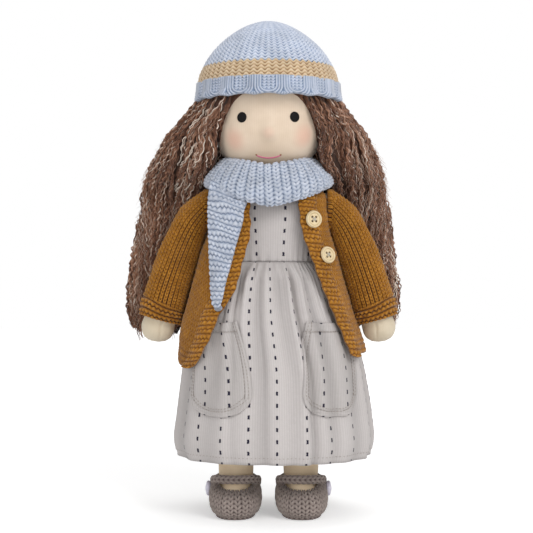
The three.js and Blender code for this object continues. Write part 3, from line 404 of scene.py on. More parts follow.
def uneven(u, v, seed, share=0.22):
    """Hand knitting: every stitch has its own height, between 1 - share and 1, from its row and column."""
    number = (np.floor(u).astype(int) * 57 + np.floor(v).astype(int) * 131) % 4093
    return np.random.default_rng(seed).uniform(1 - share, 1, 4093)[number]


def strands(u, along, seed, wave_mm=7.0, sway=0.35):
    """Crimped strands side by side: strand number u runs along and sways to each side, by its own amount and
    from its own start, and its height is a half round across it."""
    pick = np.random.default_rng(seed)
    number = np.floor(u).astype(int) % 997
    phase = pick.uniform(0, TURN, 997)[number]
    x = u % 1 - 0.5 + sway * 0.5 * np.sin(TURN * along / wave_mm + phase * 0.35 + 0.6 * np.sin(u * 0.35))
    lift = pick.uniform(0.45, 1, 997)[number]
    return np.sqrt(np.clip(1 - (x / 0.62) ** 2, 0, 1)) * lift * (0.8 + 0.2 * np.sin(TURN * along / wave_mm * 2 + phase))


# %% [markdown]
# ## Pieces of knitting and cloth
#
# A fabric piece starts as its outer surface. Its yarn then rises along the surface's own normals, and a
# second, coarser surface inside gives it its thickness. What it measured before it was put on is worked out
# from the same grid: the mean length of its rows and of its columns. A finished piece rides on its body and
# hides the frame's parts that it stands for, and a piece of cloth prints its flat size.


# %% From a surface to a piece of fabric
def row_lengths(grid, closed=False):
    if closed:
        grid = np.concatenate([grid, grid[:, :1]], axis=1)
    return np.linalg.norm(np.diff(grid, axis=1), axis=2).sum(1)


def fabric(name, outer, material, height=None, depth=0.0, thick=2.0, closed=True, back_rows=6, uv=None,
           period=None, shade=None):
    """A shell from its outer surface, and its flat size: the front is lifted by depth x (height - 0.6) along
    the normals, and the back lies thick inside it."""
    out = normals(outer, closed)
    if height is None:
        height = np.full(outer.shape[:2], 0.6)
    front = outer + out * (depth * (height - 0.6))[..., None]
    rows = np.round(np.linspace(0, outer.shape[0] - 1, back_rows)).astype(int)
    back = outer[rows] - out[rows] * thick
    points = np.concatenate([front.reshape(-1, 3), back.reshape(-1, 3)])
    relief = np.concatenate([height.ravel(), np.full(back.size // 3, 0.35)])
    if uv is not None:
        uv = np.concatenate([uv.reshape(-1, 2), uv[rows].reshape(-1, 2)])
    values = {"relief": relief}
    if shade is not None:
        values["shade"] = np.concatenate([shade.ravel(), shade[rows].ravel()])
    made = put_mesh(name, points, shell_faces(front, back, closed), material, uv, period, values)
    return made, (row_lengths(outer, closed).mean() * MM, row_lengths(outer.transpose(1, 0, 2)).mean() * MM)


def stuffed(name, rings, ends, material, uv=None, period=None, values=None):
    """A stuffed piece from its rings and its two end points."""
    points = np.concatenate([rings.reshape(-1, 3), np.array(ends, float)])
    return put_mesh(name, points, stuffed_faces(rings), material, uv, period, values)


def tubes(paths, radius, sides=3, reference=(0, 1, 0)):
    """Points and faces of many tubes: round each point of a path, sides points stand at its radius, across
    the path, and each end closes in one point."""
    along = unit(np.gradient(paths, axis=1))
    first = unit(np.cross(along, reference))
    second = np.cross(along, first)
    angle = turns(sides)[:, None]
    radius = np.broadcast_to(radius, paths.shape[:2])[..., None, None]
    rings = paths[:, :, None] + radius * (first[:, :, None] * np.cos(angle) + second[:, :, None] * np.sin(angle))
    count, steps = paths.shape[:2]
    points = np.concatenate([rings.reshape(count, -1, 3), paths[:, :1], paths[:, -1:]], 1)
    starts = (np.arange(count) * (steps * sides + 2))[:, None, None]
    faces = [(f[None] + starts).reshape(-1, f.shape[1]) for f in stuffed_faces(rings[0])]
    return points.reshape(-1, 3), faces


def even_angles(half_width, half_depth, squareness, count, closed=True, start=0.0, end=TURN):
    """Angles at which the points of a squarish outline stand evenly apart."""
    fine = np.linspace(start, end, 4001)
    x = half_width * power(np.cos(fine), 2 / squareness)
    y = half_depth * power(np.sin(fine), 2 / squareness)
    length = np.concatenate([[0], np.cumsum(np.hypot(np.diff(x), np.diff(y)))])
    return np.interp(np.linspace(0, length[-1], count, endpoint=not closed), length, fine)


def line_through(points, count):
    """Evenly spaced points on a smooth line through a few given ones."""
    points = np.asarray(points, float)
    chord = run_length(points)
    fine = np.linspace(0, chord[-1], 1200)
    curve = np.stack([through(fine, chord, column) for column in points.T], 1)
    length = run_length(curve)
    even = np.linspace(0, length[-1], count)
    return np.stack([np.interp(even, length, column) for column in curve.T], 1), even


def finish_piece(piece, body, slot, *nodes):
    """Rides the piece on its body and hides the frame's parts, nodes, that it stands for; slot is not used."""
    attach(piece, body)
    if nodes:
        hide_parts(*nodes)


def finish_sheet(piece, flat, held, rests_on, body, slot, *nodes):
    """Finishes a piece of cloth and prints its flat size; held and rests_on are not used."""
    finish_piece(piece, body, slot, *nodes)
    print(f"{piece.name}: {flat[0] / MM:.1f} x {flat[1] / MM:.1f} mm flat")


def mirror(points, side):
    """The same points on the doll's left (side 1) or right (side -1)."""
    return points * np.array([side, 1, 1])


print("makers ready")

# %% [markdown]
# ## Yarn
#
# Wool and mohair yarn have no gloss: light comes back from the ends of thousands of fibres, which the
# shader calls sheen. The finish reads the relief that each piece carries and paints shade into the gaps
# between stitches, much darker than the yarn, and a highlight onto the tops. The yarn itself is a little
# uneven, because it is dyed by hand, and the finish adds fine fibres as a bump.

# %% Colour stops, the end of a material, and the yarn finish
def colour_stops(tree, level, stops):
    """A colour ramp read at level. Its stops are pairs of a place from 0 to 1 and a hex colour."""
    ramp = add(tree, "ValToRGB", {"Fac": level})
    elements = ramp.color_ramp.elements
    for i, (place, colour) in enumerate(stops):
        element = elements[i] if i < 2 else elements.new(place)
        element.position = place
        element.color = linear(colour)
    return ramp


def surface(material, inputs):
    """Ends a material with a shader that has these inputs."""
    shader = add(material.node_tree, "BsdfPrincipled", inputs)
    add(material.node_tree, "OutputMaterial", {"Surface": shader})
    return material


def yarn(name, stops, fibre_mm=0.45, fibre_bump=0.35, mottle_mm=14.0, mottle=0.10, sheen=0.35, reading="relief"):
    """Yarn: relief and a little fibre noise choose the colour between the stops, from painted shade in the gaps
    to a painted highlight on the tops, patches of mottle_mm make it lighter and darker by the share mottle,
    and the fibres are a bump fibre_mm across."""
    material, tree = new_material(name)
    place = add(tree, "TexCoord").outputs["Object"]
    height = add(tree, "Attribute", attribute_name=reading).outputs["Fac"]
    fibre = add(tree, "TexNoise", {"Vector": place, "Scale": 1 / (fibre_mm * MM), "Detail": 4.0, "Roughness": 0.65})
    patch = add(tree, "TexNoise", {"Vector": place, "Scale": 1 / (mottle_mm * MM), "Detail": 3.0})
    level = add(tree, "Math", {0: height, 1: remap(tree, fibre, 0.25, 0.75, -0.16, 0.16)}, operation="ADD",
                use_clamp=True)
    tint = remap(tree, patch, 0.3, 0.7, 1 - mottle, 1 + mottle)
    colour = add(tree, "VectorMath", {0: colour_stops(tree, level, stops), "Scale": tint}, operation="SCALE")
    bump = add(tree, "Bump", {"Height": fibre, "Strength": fibre_bump, "Distance": fibre_mm * MM})
    return surface(material, {"Base Color": colour, "Roughness": 0.95, "Specular IOR Level": 0.25,
                              "Sheen Weight": sheen, "Sheen Roughness": 0.45, "Normal": bump})


# Where a yarn reads the relief, its first stop is painted shade in the gaps and its last a painted highlight on the
# tops.
BLUE_YARN = yarn("hand_dyed_wool_light_blue", [
    (0.0, "#62748F"), (0.28, "#92A1B9"), (0.6, "#B9C1D2"), (1.0, "#CED4E0")])
SCARF_YARN = yarn("hand_dyed_wool_grey_blue", [
    (0.0, "#5D6A80"), (0.28, "#8D98AC"), (0.6, "#B6BDCB"), (1.0, "#D0D4DE")], mottle_mm=9.0, mottle=0.13,
    fibre_bump=0.6)
PEACH_YARN = yarn("hand_dyed_wool_peach", [
    (0.0, "#80613F"), (0.3, "#AC8F6D"), (0.6, "#C6AC8B"), (1.0, "#D8C4A7")])
OCHRE_YARN = yarn("brushed_wool_ochre", [
    (0.0, "#3A2008"), (0.28, "#714510"), (0.62, "#9A651C"), (1.0, "#B9822F")], fibre_mm=0.6, sheen=0.25,
    fibre_bump=0.6)
TAUPE_YARN = yarn("crochet_cotton_taupe", [
    (0.0, "#362D2B"), (0.3, "#6A5D59"), (0.6, "#8C7F7A"), (1.0, "#A3978F")], sheen=0.15)
WHITE_WOOL = yarn("carded_wool_filling", [(0.0, "#CFC6B4"), (1.0, "#EFE9DC")], fibre_mm=1.2, fibre_bump=0.8,
                  reading="none")
print("yarns:", [m.name for m in (BLUE_YARN, SCARF_YARN, PEACH_YARN, OCHRE_YARN, TAUPE_YARN, WHITE_WOOL)])

# %% [markdown]
# ## The hat
#
# It is knitted in rounds: a brim of sixteen U-shaped panels with ribs between them, then purl rounds that
# wave up and down together, in blue with a peach stripe. The crown is one stack of rings, from the pole
# inside, round the low edge and up the outside. The rings wave with the stitches, so that the stripe and
# its neighbours lock together in zigzags, as the real colours do.

# %% Hat crown and stripe
HAT_LOW_Z, STRIPE_LOW_Z, STRIPE_TOP_Z, HAT_TOP_Z = 334.0, 347.0, 360.5, 399.3
CROWN = [(57.6, 347), (54.9, 357), (53.2, 360.5), (50.6, 365.5), (44.8, 374), (35.5, 383.5), (24.5, 391.5),
         (12.5, 397.2), (4.0, 399.2), (0.2, HAT_TOP_Z)]
ZIGZAGS = 60
ZIGZAG_RISE = 1.0
ROUND_MM = 3.0
HAT_COLUMNS = ZIGZAGS * 6


def crown_surface(low_z, high_z, step_mm):
    """Rings on the hat's profile between two heights: radius and height come from the profile line, and the
    height waves by ZIGZAG_RISE x cos(ZIGZAGS x angle), which fades where the crown closes."""
    profile, _ = line_through(CROWN, 900)
    keep = profile[(profile[:, 1] >= low_z - 0.01) & (profile[:, 1] <= high_z + 0.01)]
    length = np.linalg.norm(np.diff(keep, axis=0), axis=1).sum()
    rings, along = line_through(keep[::6], int(length / step_mm) + 1)
    angle = turns(HAT_COLUMNS)
    wave = ZIGZAG_RISE * np.cos(ZIGZAGS * angle) * smooth_step(rings[:, :1], 16, 50)
    slope = unit(np.gradient(rings, axis=0))
    radius = rings[:, :1] + wave * slope[:, :1]
    height = rings[:, 1:] + wave * slope[:, 1:] + 0 * angle
    lumps = 0.5 * drift(angle * 50, along[:, None], 21, 30) * smooth_step(rings[:, :1], 2, 20)
    grid = round_grid(radius + lumps, angle, height)
    u, v = ZIGZAGS * angle / TURN + 0 * along[:, None], along[:, None] / ROUND_MM
    height = mix(purl_rows(u / 4, v, 0.12), purl_rows(u / 2, v, 0.16), smooth_step(rings[:, :1], 13, 18))
    height = mix(height, purl_rows(u, v, 0.2), smooth_step(rings[:, :1], 26, 34)) * uneven(u, v, 22, 0.18)
    return grid, mix(0.55, height, 0.15 + 0.85 * smooth_step(rings[:, :1], 3, 26))


for name, yarn_of, slot, low_z, high_z, step_mm in (
        ("crown", BLUE_YARN, "blue_knit", STRIPE_TOP_Z, HAT_TOP_Z, 0.55),
        ("stripe", PEACH_YARN, "peach_knit", STRIPE_LOW_Z, STRIPE_TOP_Z, 0.5)):
    grid, height = crown_surface(low_z, high_z, step_mm)
    section, flat = fabric(f"hat_{name}_knit", grid, yarn_of, height, depth=1.5, thick=2.6)
    finish_sheet(section, flat, "stretched", "scalp_hair", "hat", slot, f"hat_{name}")

# %% [markdown]
# The brim's panels are drawn by one number: the distance from a panel's middle line, bent so that its
# contours close under the panel like a U. Three ribs follow those contours, and small purl rows fill the
# inside.

# %% Hat brim
BRIM_PANELS = 16
BRIM_COLUMNS = BRIM_PANELS * 30
BRIM_STRETCH = (1.3, 1.05)  # the ribs and rows open by so much when the brim is laid flat
BRIM_RADIUS = 58.0
BRIM_FLARE = 1.6
RIBS_FROM, RIBS_TO = 0.23, 0.5


def brim_height(u, t):
    """Height on the brim by panel u and share of its height t: s is the distance from the panel's middle,
    which grows below t = 0.42, ribs are three cosine ridges between s = 0.23 and 0.5, and purl rows lie
    inside them."""
    x = u % 1 - 0.5
    s = np.sqrt(x**2 + (0.30 * np.clip((0.42 - t) / 0.42, 0, 1)) ** 2)
    share = (s - RIBS_FROM) / (RIBS_TO - RIBS_FROM)
    ribs = (0.52 + 0.48 * np.cos(TURN * (share * 3 - 0.5))) * smooth_step(share, -0.08, 0.05)
    ribs *= 1 - 0.75 * smooth_step(np.abs(x), 0.46, 0.5)
    inside = 0.72 * purl_rows(x * 7, t * 6 + 0.28 * np.cos(TURN * x * 7)) + 0.1
    return np.clip(mix(inside, ribs, smooth_step(s, RIBS_FROM - 0.03, RIBS_FROM + 0.02)), 0, 1)


brim_angle = turns(BRIM_COLUMNS)
brim_t = np.linspace(0, 1, 40)[:, None]
brim_u = BRIM_PANELS * brim_angle / TURN + 0.5 + 0 * brim_t
scallop = np.cos(BRIM_PANELS * brim_angle + np.pi)
brim_radius = BRIM_RADIUS + BRIM_FLARE * (1 - brim_t) ** 2 + 0.9 * scallop * (1 - 0.6 * brim_t)
brim_z = mix(HAT_LOW_Z - 0.6 * scallop, STRIPE_LOW_Z + 0.8, brim_t)
brim_grid = round_grid(brim_radius, brim_angle, brim_z)
brim, brim_flat = fabric("hat_brim_knit", brim_grid, BLUE_YARN, brim_height(brim_u, brim_t), depth=2.4, thick=4.2)
brim_flat = (brim_flat[0] * BRIM_STRETCH[0], brim_flat[1] * BRIM_STRETCH[1])
finish_sheet(brim, brim_flat, "stretched", "scalp_hair", "hat", "blue_knit", "hat_brim")

# %% [markdown]
# ## The scarf
#
# Thick ribbed knitting: columns of V stitches about 7 mm wide run up from the lower edge, over the rim and
# down inside. The rim stands close round the neck, low in front and higher at the sides, and each column
# makes a small scallop there.

# %% Scarf wrap
SCARF_COLUMNS = 42
SCARF_ROW_MM = 3.6
SCARF_HALF_SIZES = (53, 50)
SCARF_SECTION = [(3.0, 3.0, 0.0), (0.4, 0.4, 0.12), (0.4, 0.4, 0.3), (3.2, 2.4, 0.52), (9.0, 6.5, 0.8),
                 (14.2, 10.6, 0.97), (17.4, 14.2, 1.0), (19.4, 16.4, 0.9), (18.6, 15.6, 0.72)]


def scarf_low(sideways):
    """Height of the wrap's lower edge, by how far sideways it is from the middle (0) to the side (1)."""
    return 245.6 + 17.5 * sideways**1.4


def scarf_surface():
    """The wrap's outside: its section gives an inset in X and in Y and a share of the height, at each angle
    the height runs from a low to a high edge, and both edges rise at the sides."""
    section = np.array(SCARF_SECTION)
    rise = section * [1, 1, 33]
    chord = run_length(rise)
    rows = int(chord[-1] / SCARF_ROW_MM * 7)
    steps = np.linspace(0, chord[-1], rows)[:, None]
    inset_x, inset_y, share = (through(steps, chord, column) for column in section.T)
    angle = turns(SCARF_COLUMNS * 8)
    sideways = np.abs(np.cos(angle))
    low, high = scarf_low(sideways), 279.4 + 7.0 * sideways
    scallop = 0.5 * (1 - np.cos(SCARF_COLUMNS * angle)) * smooth_step(share, 0.8, 1.0)
    sag = 0.9 * drift(angle * 45, steps, 4, 30)
    radius_x, radius_y = SCARF_HALF_SIZES[0] - inset_x + sag, SCARF_HALF_SIZES[1] - inset_y + sag
    z = mix(low, high, share) + scallop * 0.9 + 0.6 * np.sin(3 * angle + 1) * (1 - share)
    grid = np.stack([radius_x * np.cos(angle), radius_y * np.sin(angle), z], -1)
    u = SCARF_COLUMNS * angle / TURN + 0.12 * np.sin(5 * angle + steps / 12)
    v = steps / SCARF_ROW_MM + 0.5 * np.sin(np.floor(u) * 2.4)
    return grid, stocking(u, v) * mix(0.8, 1.0, 0.5 - 0.5 * np.cos(TURN * u)) * uneven(u, v, 6)


scarf_grid, scarf_height = scarf_surface()
scarf, scarf_flat = fabric("scarf_wrap_knit", scarf_grid, SCARF_YARN, scarf_height, depth=2.6, thick=3.4)
finish_sheet(scarf, scarf_flat, "draped", "cardigan_knit", "torso", "blue_knit", "scarf_wrap")

# %% Scarf end
# From above, the garments are squarish: (x / half width)^SQUARE + (y / half depth)^SQUARE is 1. The table holds the
# cardigan's half width, half depth and height, because the scarf's end lies on it.
SQUARE = 2.3
CARDIGAN = np.array([(77.5, 74.5, 110), (75.3, 71.8, 125), (70.8, 67, 148), (65.6, 60.6, 166), (58.5, 50.5, 192),
                     (54, 45, 210), (50, 41, 228), (50, 39.4, 245), (48.8, 37.2, 254), (44, 33.5, 261.5),
                     (36, 29.5, 266.5), (28, 26, 269.5)])
TAIL_LEFT_EDGE = [(-46.0, 268), (-47.5, 258), (-47.8, 225), (-46.5, 193), (-45.2, 176), (-43.0, 168.4), (-40.2, 166.4)]
TAIL_RIGHT_EDGE = [(-13.5, 257), (-18, 246), (-21.3, 232), (-29, 204), (-33.7, 186), (-36.2, 172), (-38.0, 166.8)]
TAIL_ROW_MM = 4.0


def tail_surface():
    """The hanging end: straight rows between two edge lines, curved outwards across its width, lying in
    front of the cardigan, with its top tucked in under the wrap."""
    left, along = line_through(TAIL_LEFT_EDGE[::-1], 176)
    right, _ = line_through(TAIL_RIGHT_EDGE[::-1], 176)
    across = np.linspace(0, 1, 56)
    x = mix(left[:, :1], right[:, :1], across)
    z = mix(left[:, 1:], right[:, 1:], across)
    w, d = half_sizes(CARDIGAN, z)
    on_cloth = d * np.sqrt(np.clip(1 - (np.abs(x) / w) ** SQUARE, 0.02, 1)) ** (2 / SQUARE)
    hanging = 44.5 - 0.35 * np.clip(np.abs(x) - 20, 0, None)
    crown_over = 1.6 * np.sin(np.pi * across) + 0.7 * drift(x, z, 8, 25)
    tucked = 8.5 * smooth_step(z - scarf_low(np.clip(np.abs(x) / SCARF_HALF_SIZES[0], 0, 1)), -7, 3)
    y = -(np.maximum(on_cloth + 2.0, hanging) + 3.6 + crown_over - tucked)
    width = np.abs(right[:, :1] - left[:, :1])
    u = (across - 0.5) * width / 3.4 + 0.3 * drift(x, z, 9, 6)
    v = along[:, None] / TAIL_ROW_MM + 0.5 * drift(x, z, 10, 7)
    return np.stack([x, y, z], -1), knobs(u, v, 0.1)


tail_grid, tail_height = tail_surface()
tail, tail_flat = fabric("scarf_tail_knit", tail_grid, SCARF_YARN, tail_height, depth=1.9, thick=4.4, closed=False,
                         back_rows=24)
finish_sheet(tail, tail_flat, "hung", "cardigan_knit", "torso", "blue_knit", "scarf_tail")

# %% [markdown]
# ## The dress
#
# One printed cotton: pale, with faint woven lines 2 mm apart and rows of short black dashes 23 mm apart,
# drawn in the shader from the flat cloth's millimetres, which every cotton piece carries as its UV map. So
# the dashes bend with each fold, as print does. The skirt is one ring of cloth: 38 tight gathers at the waist
# run together into 13 soft folds at the hem, and a few deeper ones lie where the photograph has them.

# %% Printed cotton
LINE_MM = 23.0
DASH_MM = 9.2


def printed_cotton(name, stops):
    """Cotton: pingpong turns each flat coordinate into the distance from the nearest printed line and from
    the middle of the nearest dash. A dash is where both are small. A fine weave and soft creases are bumps,
    and the attribute "shade" darkens the folds."""
    material, tree = new_material(name)
    flat = add(tree, "UVMap", uv_map="flat_mm").outputs[0]
    rough_edge = add(tree, "TexNoise", {"Vector": flat, "Scale": 1.1, "Detail": 2.0}).outputs[1]
    shift = add(tree, "VectorMath", {0: rough_edge, 1: (0.5, 0.5, 0.5)}, operation="SUBTRACT")
    moved = add(tree, "VectorMath", {0: shift, 1: (1.1, 1.1, 0.0), 2: flat}, operation="MULTIPLY_ADD")
    parts = add(tree, "SeparateXYZ", {0: moved}).outputs
    across = add(tree, "Math", {0: parts[0], 1: LINE_MM / 2}, operation="PINGPONG")
    along = add(tree, "Math", {0: parts[1], 1: DASH_MM / 2}, operation="PINGPONG")
    narrow, short = remap(tree, across, 0.75, 1.0, 1, 0), remap(tree, along, 1.4, 1.7, 1, 0)
    dash = add(tree, "Math", {0: narrow, 1: short}, operation="MULTIPLY")
    fine = add(tree, "Math", {0: parts[0], 1: 1.0}, operation="PINGPONG")
    slub = add(tree, "TexNoise", {"Vector": flat, "Scale": 0.35, "Detail": 4.0, "Roughness": 0.7})
    tone = add(tree, "Math", {0: fine, 1: slub, 2: 0.0}, operation="MULTIPLY_ADD")
    colour = add(tree, "Mix", {0: dash, 6: colour_stops(tree, tone, stops), 7: linear("#211D30")},
                 data_type="RGBA").outputs[2]
    shade = add(tree, "Attribute", attribute_name="shade").outputs["Fac"]
    colour = add(tree, "VectorMath", {0: colour, "Scale": shade}, operation="SCALE")
    weave = add(tree, "TexMagic", {"Vector": flat, "Scale": 9.0}, turbulence_depth=0).outputs[1]
    creases = add(tree, "TexNoise", {"Vector": flat, "Scale": 0.09, "Detail": 3.0})
    fine_bump = add(tree, "Bump", {"Height": weave, "Strength": 0.25, "Distance": 0.00012})
    bump = add(tree, "Bump", {"Height": creases, "Strength": 0.5, "Distance": 0.0016, "Normal": fine_bump})
    return surface(material, {"Base Color": colour, "Roughness": 0.88, "Specular IOR Level": 0.3,
                              "Sheen Weight": 0.1, "Normal": bump})


COTTON = printed_cotton("printed_cotton", [(0.0, "#BCB6B4"), (0.3, "#C3BDBB"), (0.75, "#C9C4C2")])
# The pockets get a darker copy of the same printed cotton: painted shade.
SHADED_POCKET_COTTON = printed_cotton("printed_cotton_pocket_shaded", [(0.0, "#B1ACA9"), (0.3, "#B8B2B0"), (0.75, "#BEB9B7")])
THREAD = yarn("sewing_thread_cream", [(0.0, "#9A9088"), (1.0, "#C9C1B9")], fibre_mm=0.2, reading="none")

# %% Skirt surface
SKIRT = np.array([(77, 68.5, 47), (79.5, 70, 57), (78, 68, 80), (75, 65, 103), (72, 62, 122), (68.5, 58, 139),
                  (64.5, 54.5, 152), (59, 50, 168), (54, 45, 181), (49.5, 39.5, 192), (43.5, 33, 200),
                  (41, 30, 203.05)])
HEM_Z, WAIST_Z = 47.0, 203.05
FLAT_WIDTH = 22 * LINE_MM
SKIRT_PRINT_SHIFT = 1.5
SOFT_FOLDS = [(4.92, 0.055, 6.6), (5.01, 0.026, -3.6), (5.12, 0.06, 4.6), (4.81, 0.045, -3.4), (4.68, 0.04, 1.6),
              (4.59, 0.035, -2.6), (4.44, 0.07, 4.2), (4.28, 0.04, -2.2), (5.27, 0.045, -2.6), (3.95, 0.1, 1.8),
              (5.75, 0.1, 1.2)]


def around(half_width, half_depth, angle):
    """A point of a squarish outline: half sizes times the cosine and sine to the power 2 / SQUARE."""
    return half_width * power(np.cos(angle), 2 / SQUARE), half_depth * power(np.sin(angle), 2 / SQUARE)


def lean(z):
    """How far skirt and cardigan hang to the doll's left at a height, as they do in the photograph."""
    return 4.6 * smooth_step((WAIST_Z - z) / (WAIST_Z - HEM_Z), 0.2, 0.6)


def skirt_folds(angle, z):
    """How far the cloth stands out of the skirt's plain outline: 38 uneven gathers with a sharp crease between
    them, which fade under the waist, 13 wandering folds, and the folds of SOFT_FOLDS, each a bell curve with its
    angle, its spread and its rise."""
    down = (WAIST_Z - z) / (WAIST_Z - HEM_Z)
    gathers = np.cos(38 * angle + 2.2 * np.sin(5 * angle) + 1.3 * np.sin(9 * angle + 1))
    crease = np.exp(-(1 - gathers) / 0.22) * (0.6 + 0.4 * np.sin(7 * angle + 2))
    out = (1.2 * gathers - 2.6 * crease) * np.exp(-down * 5.0) * smooth_step(down, -0.02, 0.03)
    folds = np.cos(13 * angle + 1.6 * np.sin(2 * angle + 0.6) + 0.9 * np.sin(3 * angle) + 0.5 * down)
    out = out + (1.0 + 2.0 * down - 1.4 * down**2) * folds * smooth_step(down, 0.02, 0.3)
    for middle, spread, rise in SOFT_FOLDS:
        distance = (angle - middle - 0.05 * down + np.pi) % TURN - np.pi
        bell = np.exp(-(distance / (spread * (0.8 + 0.5 * down))) ** 2)
        out = out + rise * bell * smooth_step(down, 0.0, 0.12) * (1 - 0.45 * down)
    return out + 0.8 * drift(angle * 60, z, 31, 40) * smooth_step(down, 0.1, 0.4)


def fold_shade(angle, z):
    """Light that reaches the cloth: 1 on a ridge, and 0.8 in a valley 3 mm deep."""
    return 0.8 + 0.2 * smooth_step(skirt_folds(angle, z), -3.2, 1.6)


def skirt_point(angle, z):
    """The skirt by angle and height: the measured outline, moved out by its folds and to the side by lean."""
    x, y = around(*half_sizes(SKIRT, z), angle)
    spread = 1 + skirt_folds(angle, z) / np.hypot(x, y)
    return np.stack([x * spread + lean(z), y * spread, z + 0 * angle], -1)


SKIRT_COLUMNS, SKIRT_ROWS = 550, 88
skirt_angles = even_angles(66, 58, SQUARE, SKIRT_COLUMNS)
skirt_z = mix(HEM_Z, WAIST_Z, np.linspace(0, 1, SKIRT_ROWS) ** 0.9)[:, None]
skirt_grid = skirt_point(skirt_angles, skirt_z + 0 * skirt_angles)
front_column = np.argmin(np.abs(skirt_angles - 1.5 * np.pi))
skirt_u = (np.arange(SKIRT_COLUMNS) - front_column) * FLAT_WIDTH / SKIRT_COLUMNS - SKIRT_PRINT_SHIFT
skirt_v = run_length(skirt_grid[:, front_column])
skirt_uv = grid_of(skirt_u, skirt_v[:, None])
hem_groove = 0.6 - 0.4 * np.exp(-((skirt_v[:, None] - 3.0) / 0.7) ** 2) + 0 * skirt_u
skirt, _ = fabric("skirt_cotton", skirt_grid, COTTON, hem_groove, depth=1.2, thick=1.1, uv=skirt_uv,
                  period=FLAT_WIDTH, back_rows=20, shade=fold_shade(skirt_angles, skirt_z))
finish_sheet(skirt, (FLAT_WIDTH * MM, skirt_v[-1] * MM), "gathered", "bodice_cotton", "torso", "cotton",
             "dress_skirt_front", "dress_skirt_back")

# %% Bodice
TORSO = np.array([(37.5, 26.5, 203.2), (40, 28, 222), (43.5, 29, 238), (43.5, 28, 247), (40, 25.5, 255),
                  (32, 22, 261), (28, 20.8, 263)])
BODICE_COLUMNS, BODICE_PRINT_SHIFT = 240, 10.3
bodice_angles = even_angles(42, 28, SQUARE, BODICE_COLUMNS)
bodice_z = np.linspace(203.0, 262.0, 44)[:, None]
pucker = 0.5 * np.cos(44 * bodice_angles + 2 * np.sin(5 * bodice_angles)) * np.exp(-(bodice_z - 203) / 7)
tuck = 0.7 * drift(bodice_angles * 40, bodice_z, 41, 26)
bodice_x, bodice_y = around(*(size + 1.7 + pucker + tuck for size in half_sizes(TORSO, bodice_z)), bodice_angles)
bodice_grid = grid_of(bodice_x, bodice_y, bodice_z)
bodice_round = row_lengths(bodice_grid, True).mean()
bodice_u = (np.arange(BODICE_COLUMNS) - np.argmin(np.abs(bodice_angles - 1.5 * np.pi))) * bodice_round \
    / BODICE_COLUMNS + BODICE_PRINT_SHIFT
bodice_uv = grid_of(bodice_u, bodice_z - 200)
bodice, bodice_flat = fabric("bodice_cotton", bodice_grid, COTTON, thick=1.1, uv=bodice_uv, period=bodice_round,
                             back_rows=10, shade=np.full(bodice_x.shape, 0.95))
finish_sheet(bodice, bodice_flat, "stretched", "body_jersey", "torso", "cotton", "dress_bodice")

# %% [markdown]
# ## Patch pockets
#
# Each pocket is a flat patch with round lower corners and a wide folded hem on top. It follows the skirt a
# little outside it, and smooths the folds that it lies on. The stitching is real thread: short tubes set
# 2.7 mm apart, along two lines inside the edge, in a groove that the thread pulls into the cloth.


# %% Rows of stitches
def stitch_row(line, out, pitch_mm=2.7, length_mm=1.8, radius=0.24):
    """Short tubes along a line of points: each follows the line for length_mm, and its ends dive 0.5 mm under
    the cloth along the normals out."""
    length = run_length(line)
    starts = np.arange(0, length[-1] - length_mm, pitch_mm)
    places = starts[:, None] + np.linspace(0, length_mm, 5)
    path = np.stack([np.interp(places, length, column) for column in line.T], -1)
    lift = np.stack([np.interp(places, length, column) for column in out.T], -1)
    rise = np.array([-0.5, 0.12, 0.2, 0.12, -0.5])[:, None]
    return tubes(path + lift * rise, radius, 4, (0.1, 1, 0.2))


def join(parts):
    """One list of points and faces from several."""
    points, faces, start = [], [], 0
    for more_points, more_faces in parts:
        points.append(more_points)
        faces += [f + start for f in more_faces]
        start += len(more_points)
    return np.concatenate(points), faces


# %% Pockets with their stitching
POCKET_LOW_Z, POCKET_TOP_Z, POCKET_WIDTH = 83.0, 156.5, 58.0
POCKET_HEM = 7.6
POCKET_INSETS = (2.2, 4.6)
POCKET_FLAT_HEIGHT, POCKET_PRINT_SHIFT = 73, 11.5
SKIRT_HALF_SIZES, SKIRT_RADIUS = (79, 69.5), 72  # about where the pockets lie
POCKET_MIDDLES = {"left": 46.5, "right": -44.5}


def pocket_surface(middle_x, across, t):
    """The patch by across (-1 to 1) and height t: near the bottom its half width shrinks by
    sqrt(1 - 0.93 r^3), r from 0 to 1 over the lowest third, and it lies 1.3 mm outside the skirt's folds, and
    2.8 mm at the hem on top."""
    z = mix(POCKET_LOW_Z, POCKET_TOP_Z, t) - 1.6 * (1 - across**2) * smooth_step(t, 0.8, 1.0)
    rounding = np.clip((0.34 - t) / 0.34, 0, 1)
    half = POCKET_WIDTH / 2 * np.sqrt(1 - 0.93 * rounding**3)
    ratio = np.clip(np.abs(middle_x) / half_sizes(SKIRT, z)[0], 0, 1) ** (SQUARE / 2)
    middle = np.where(middle_x > 0, TURN - np.arccos(ratio), np.pi + np.arccos(ratio))
    angle = middle + across * half / SKIRT_RADIUS
    point = skirt_point(angle, z)
    spread = 1 + (1.3 + 1.5 * smooth_step(t, 0.6, 1.0)) / np.hypot(point[..., 0], point[..., 1])
    point[..., :2] *= spread[..., None]
    edge = np.minimum((1 - np.abs(across)) * half, mix(0, POCKET_TOP_Z - POCKET_LOW_Z, t)
                      / np.sqrt(1 + 3 * np.abs(across) ** 3))
    return point, edge, half * across, fold_shade(angle, z)


def pocket_seam(middle_x, across, t):
    """A row of stitches on the patch, along a line of across and t."""
    line = pocket_surface(middle_x, across, t)[0]
    out = unit(line / [*SKIRT_HALF_SIZES, 1] * [1, 1, 0])
    return stitch_row(line + out * 0.1, out)


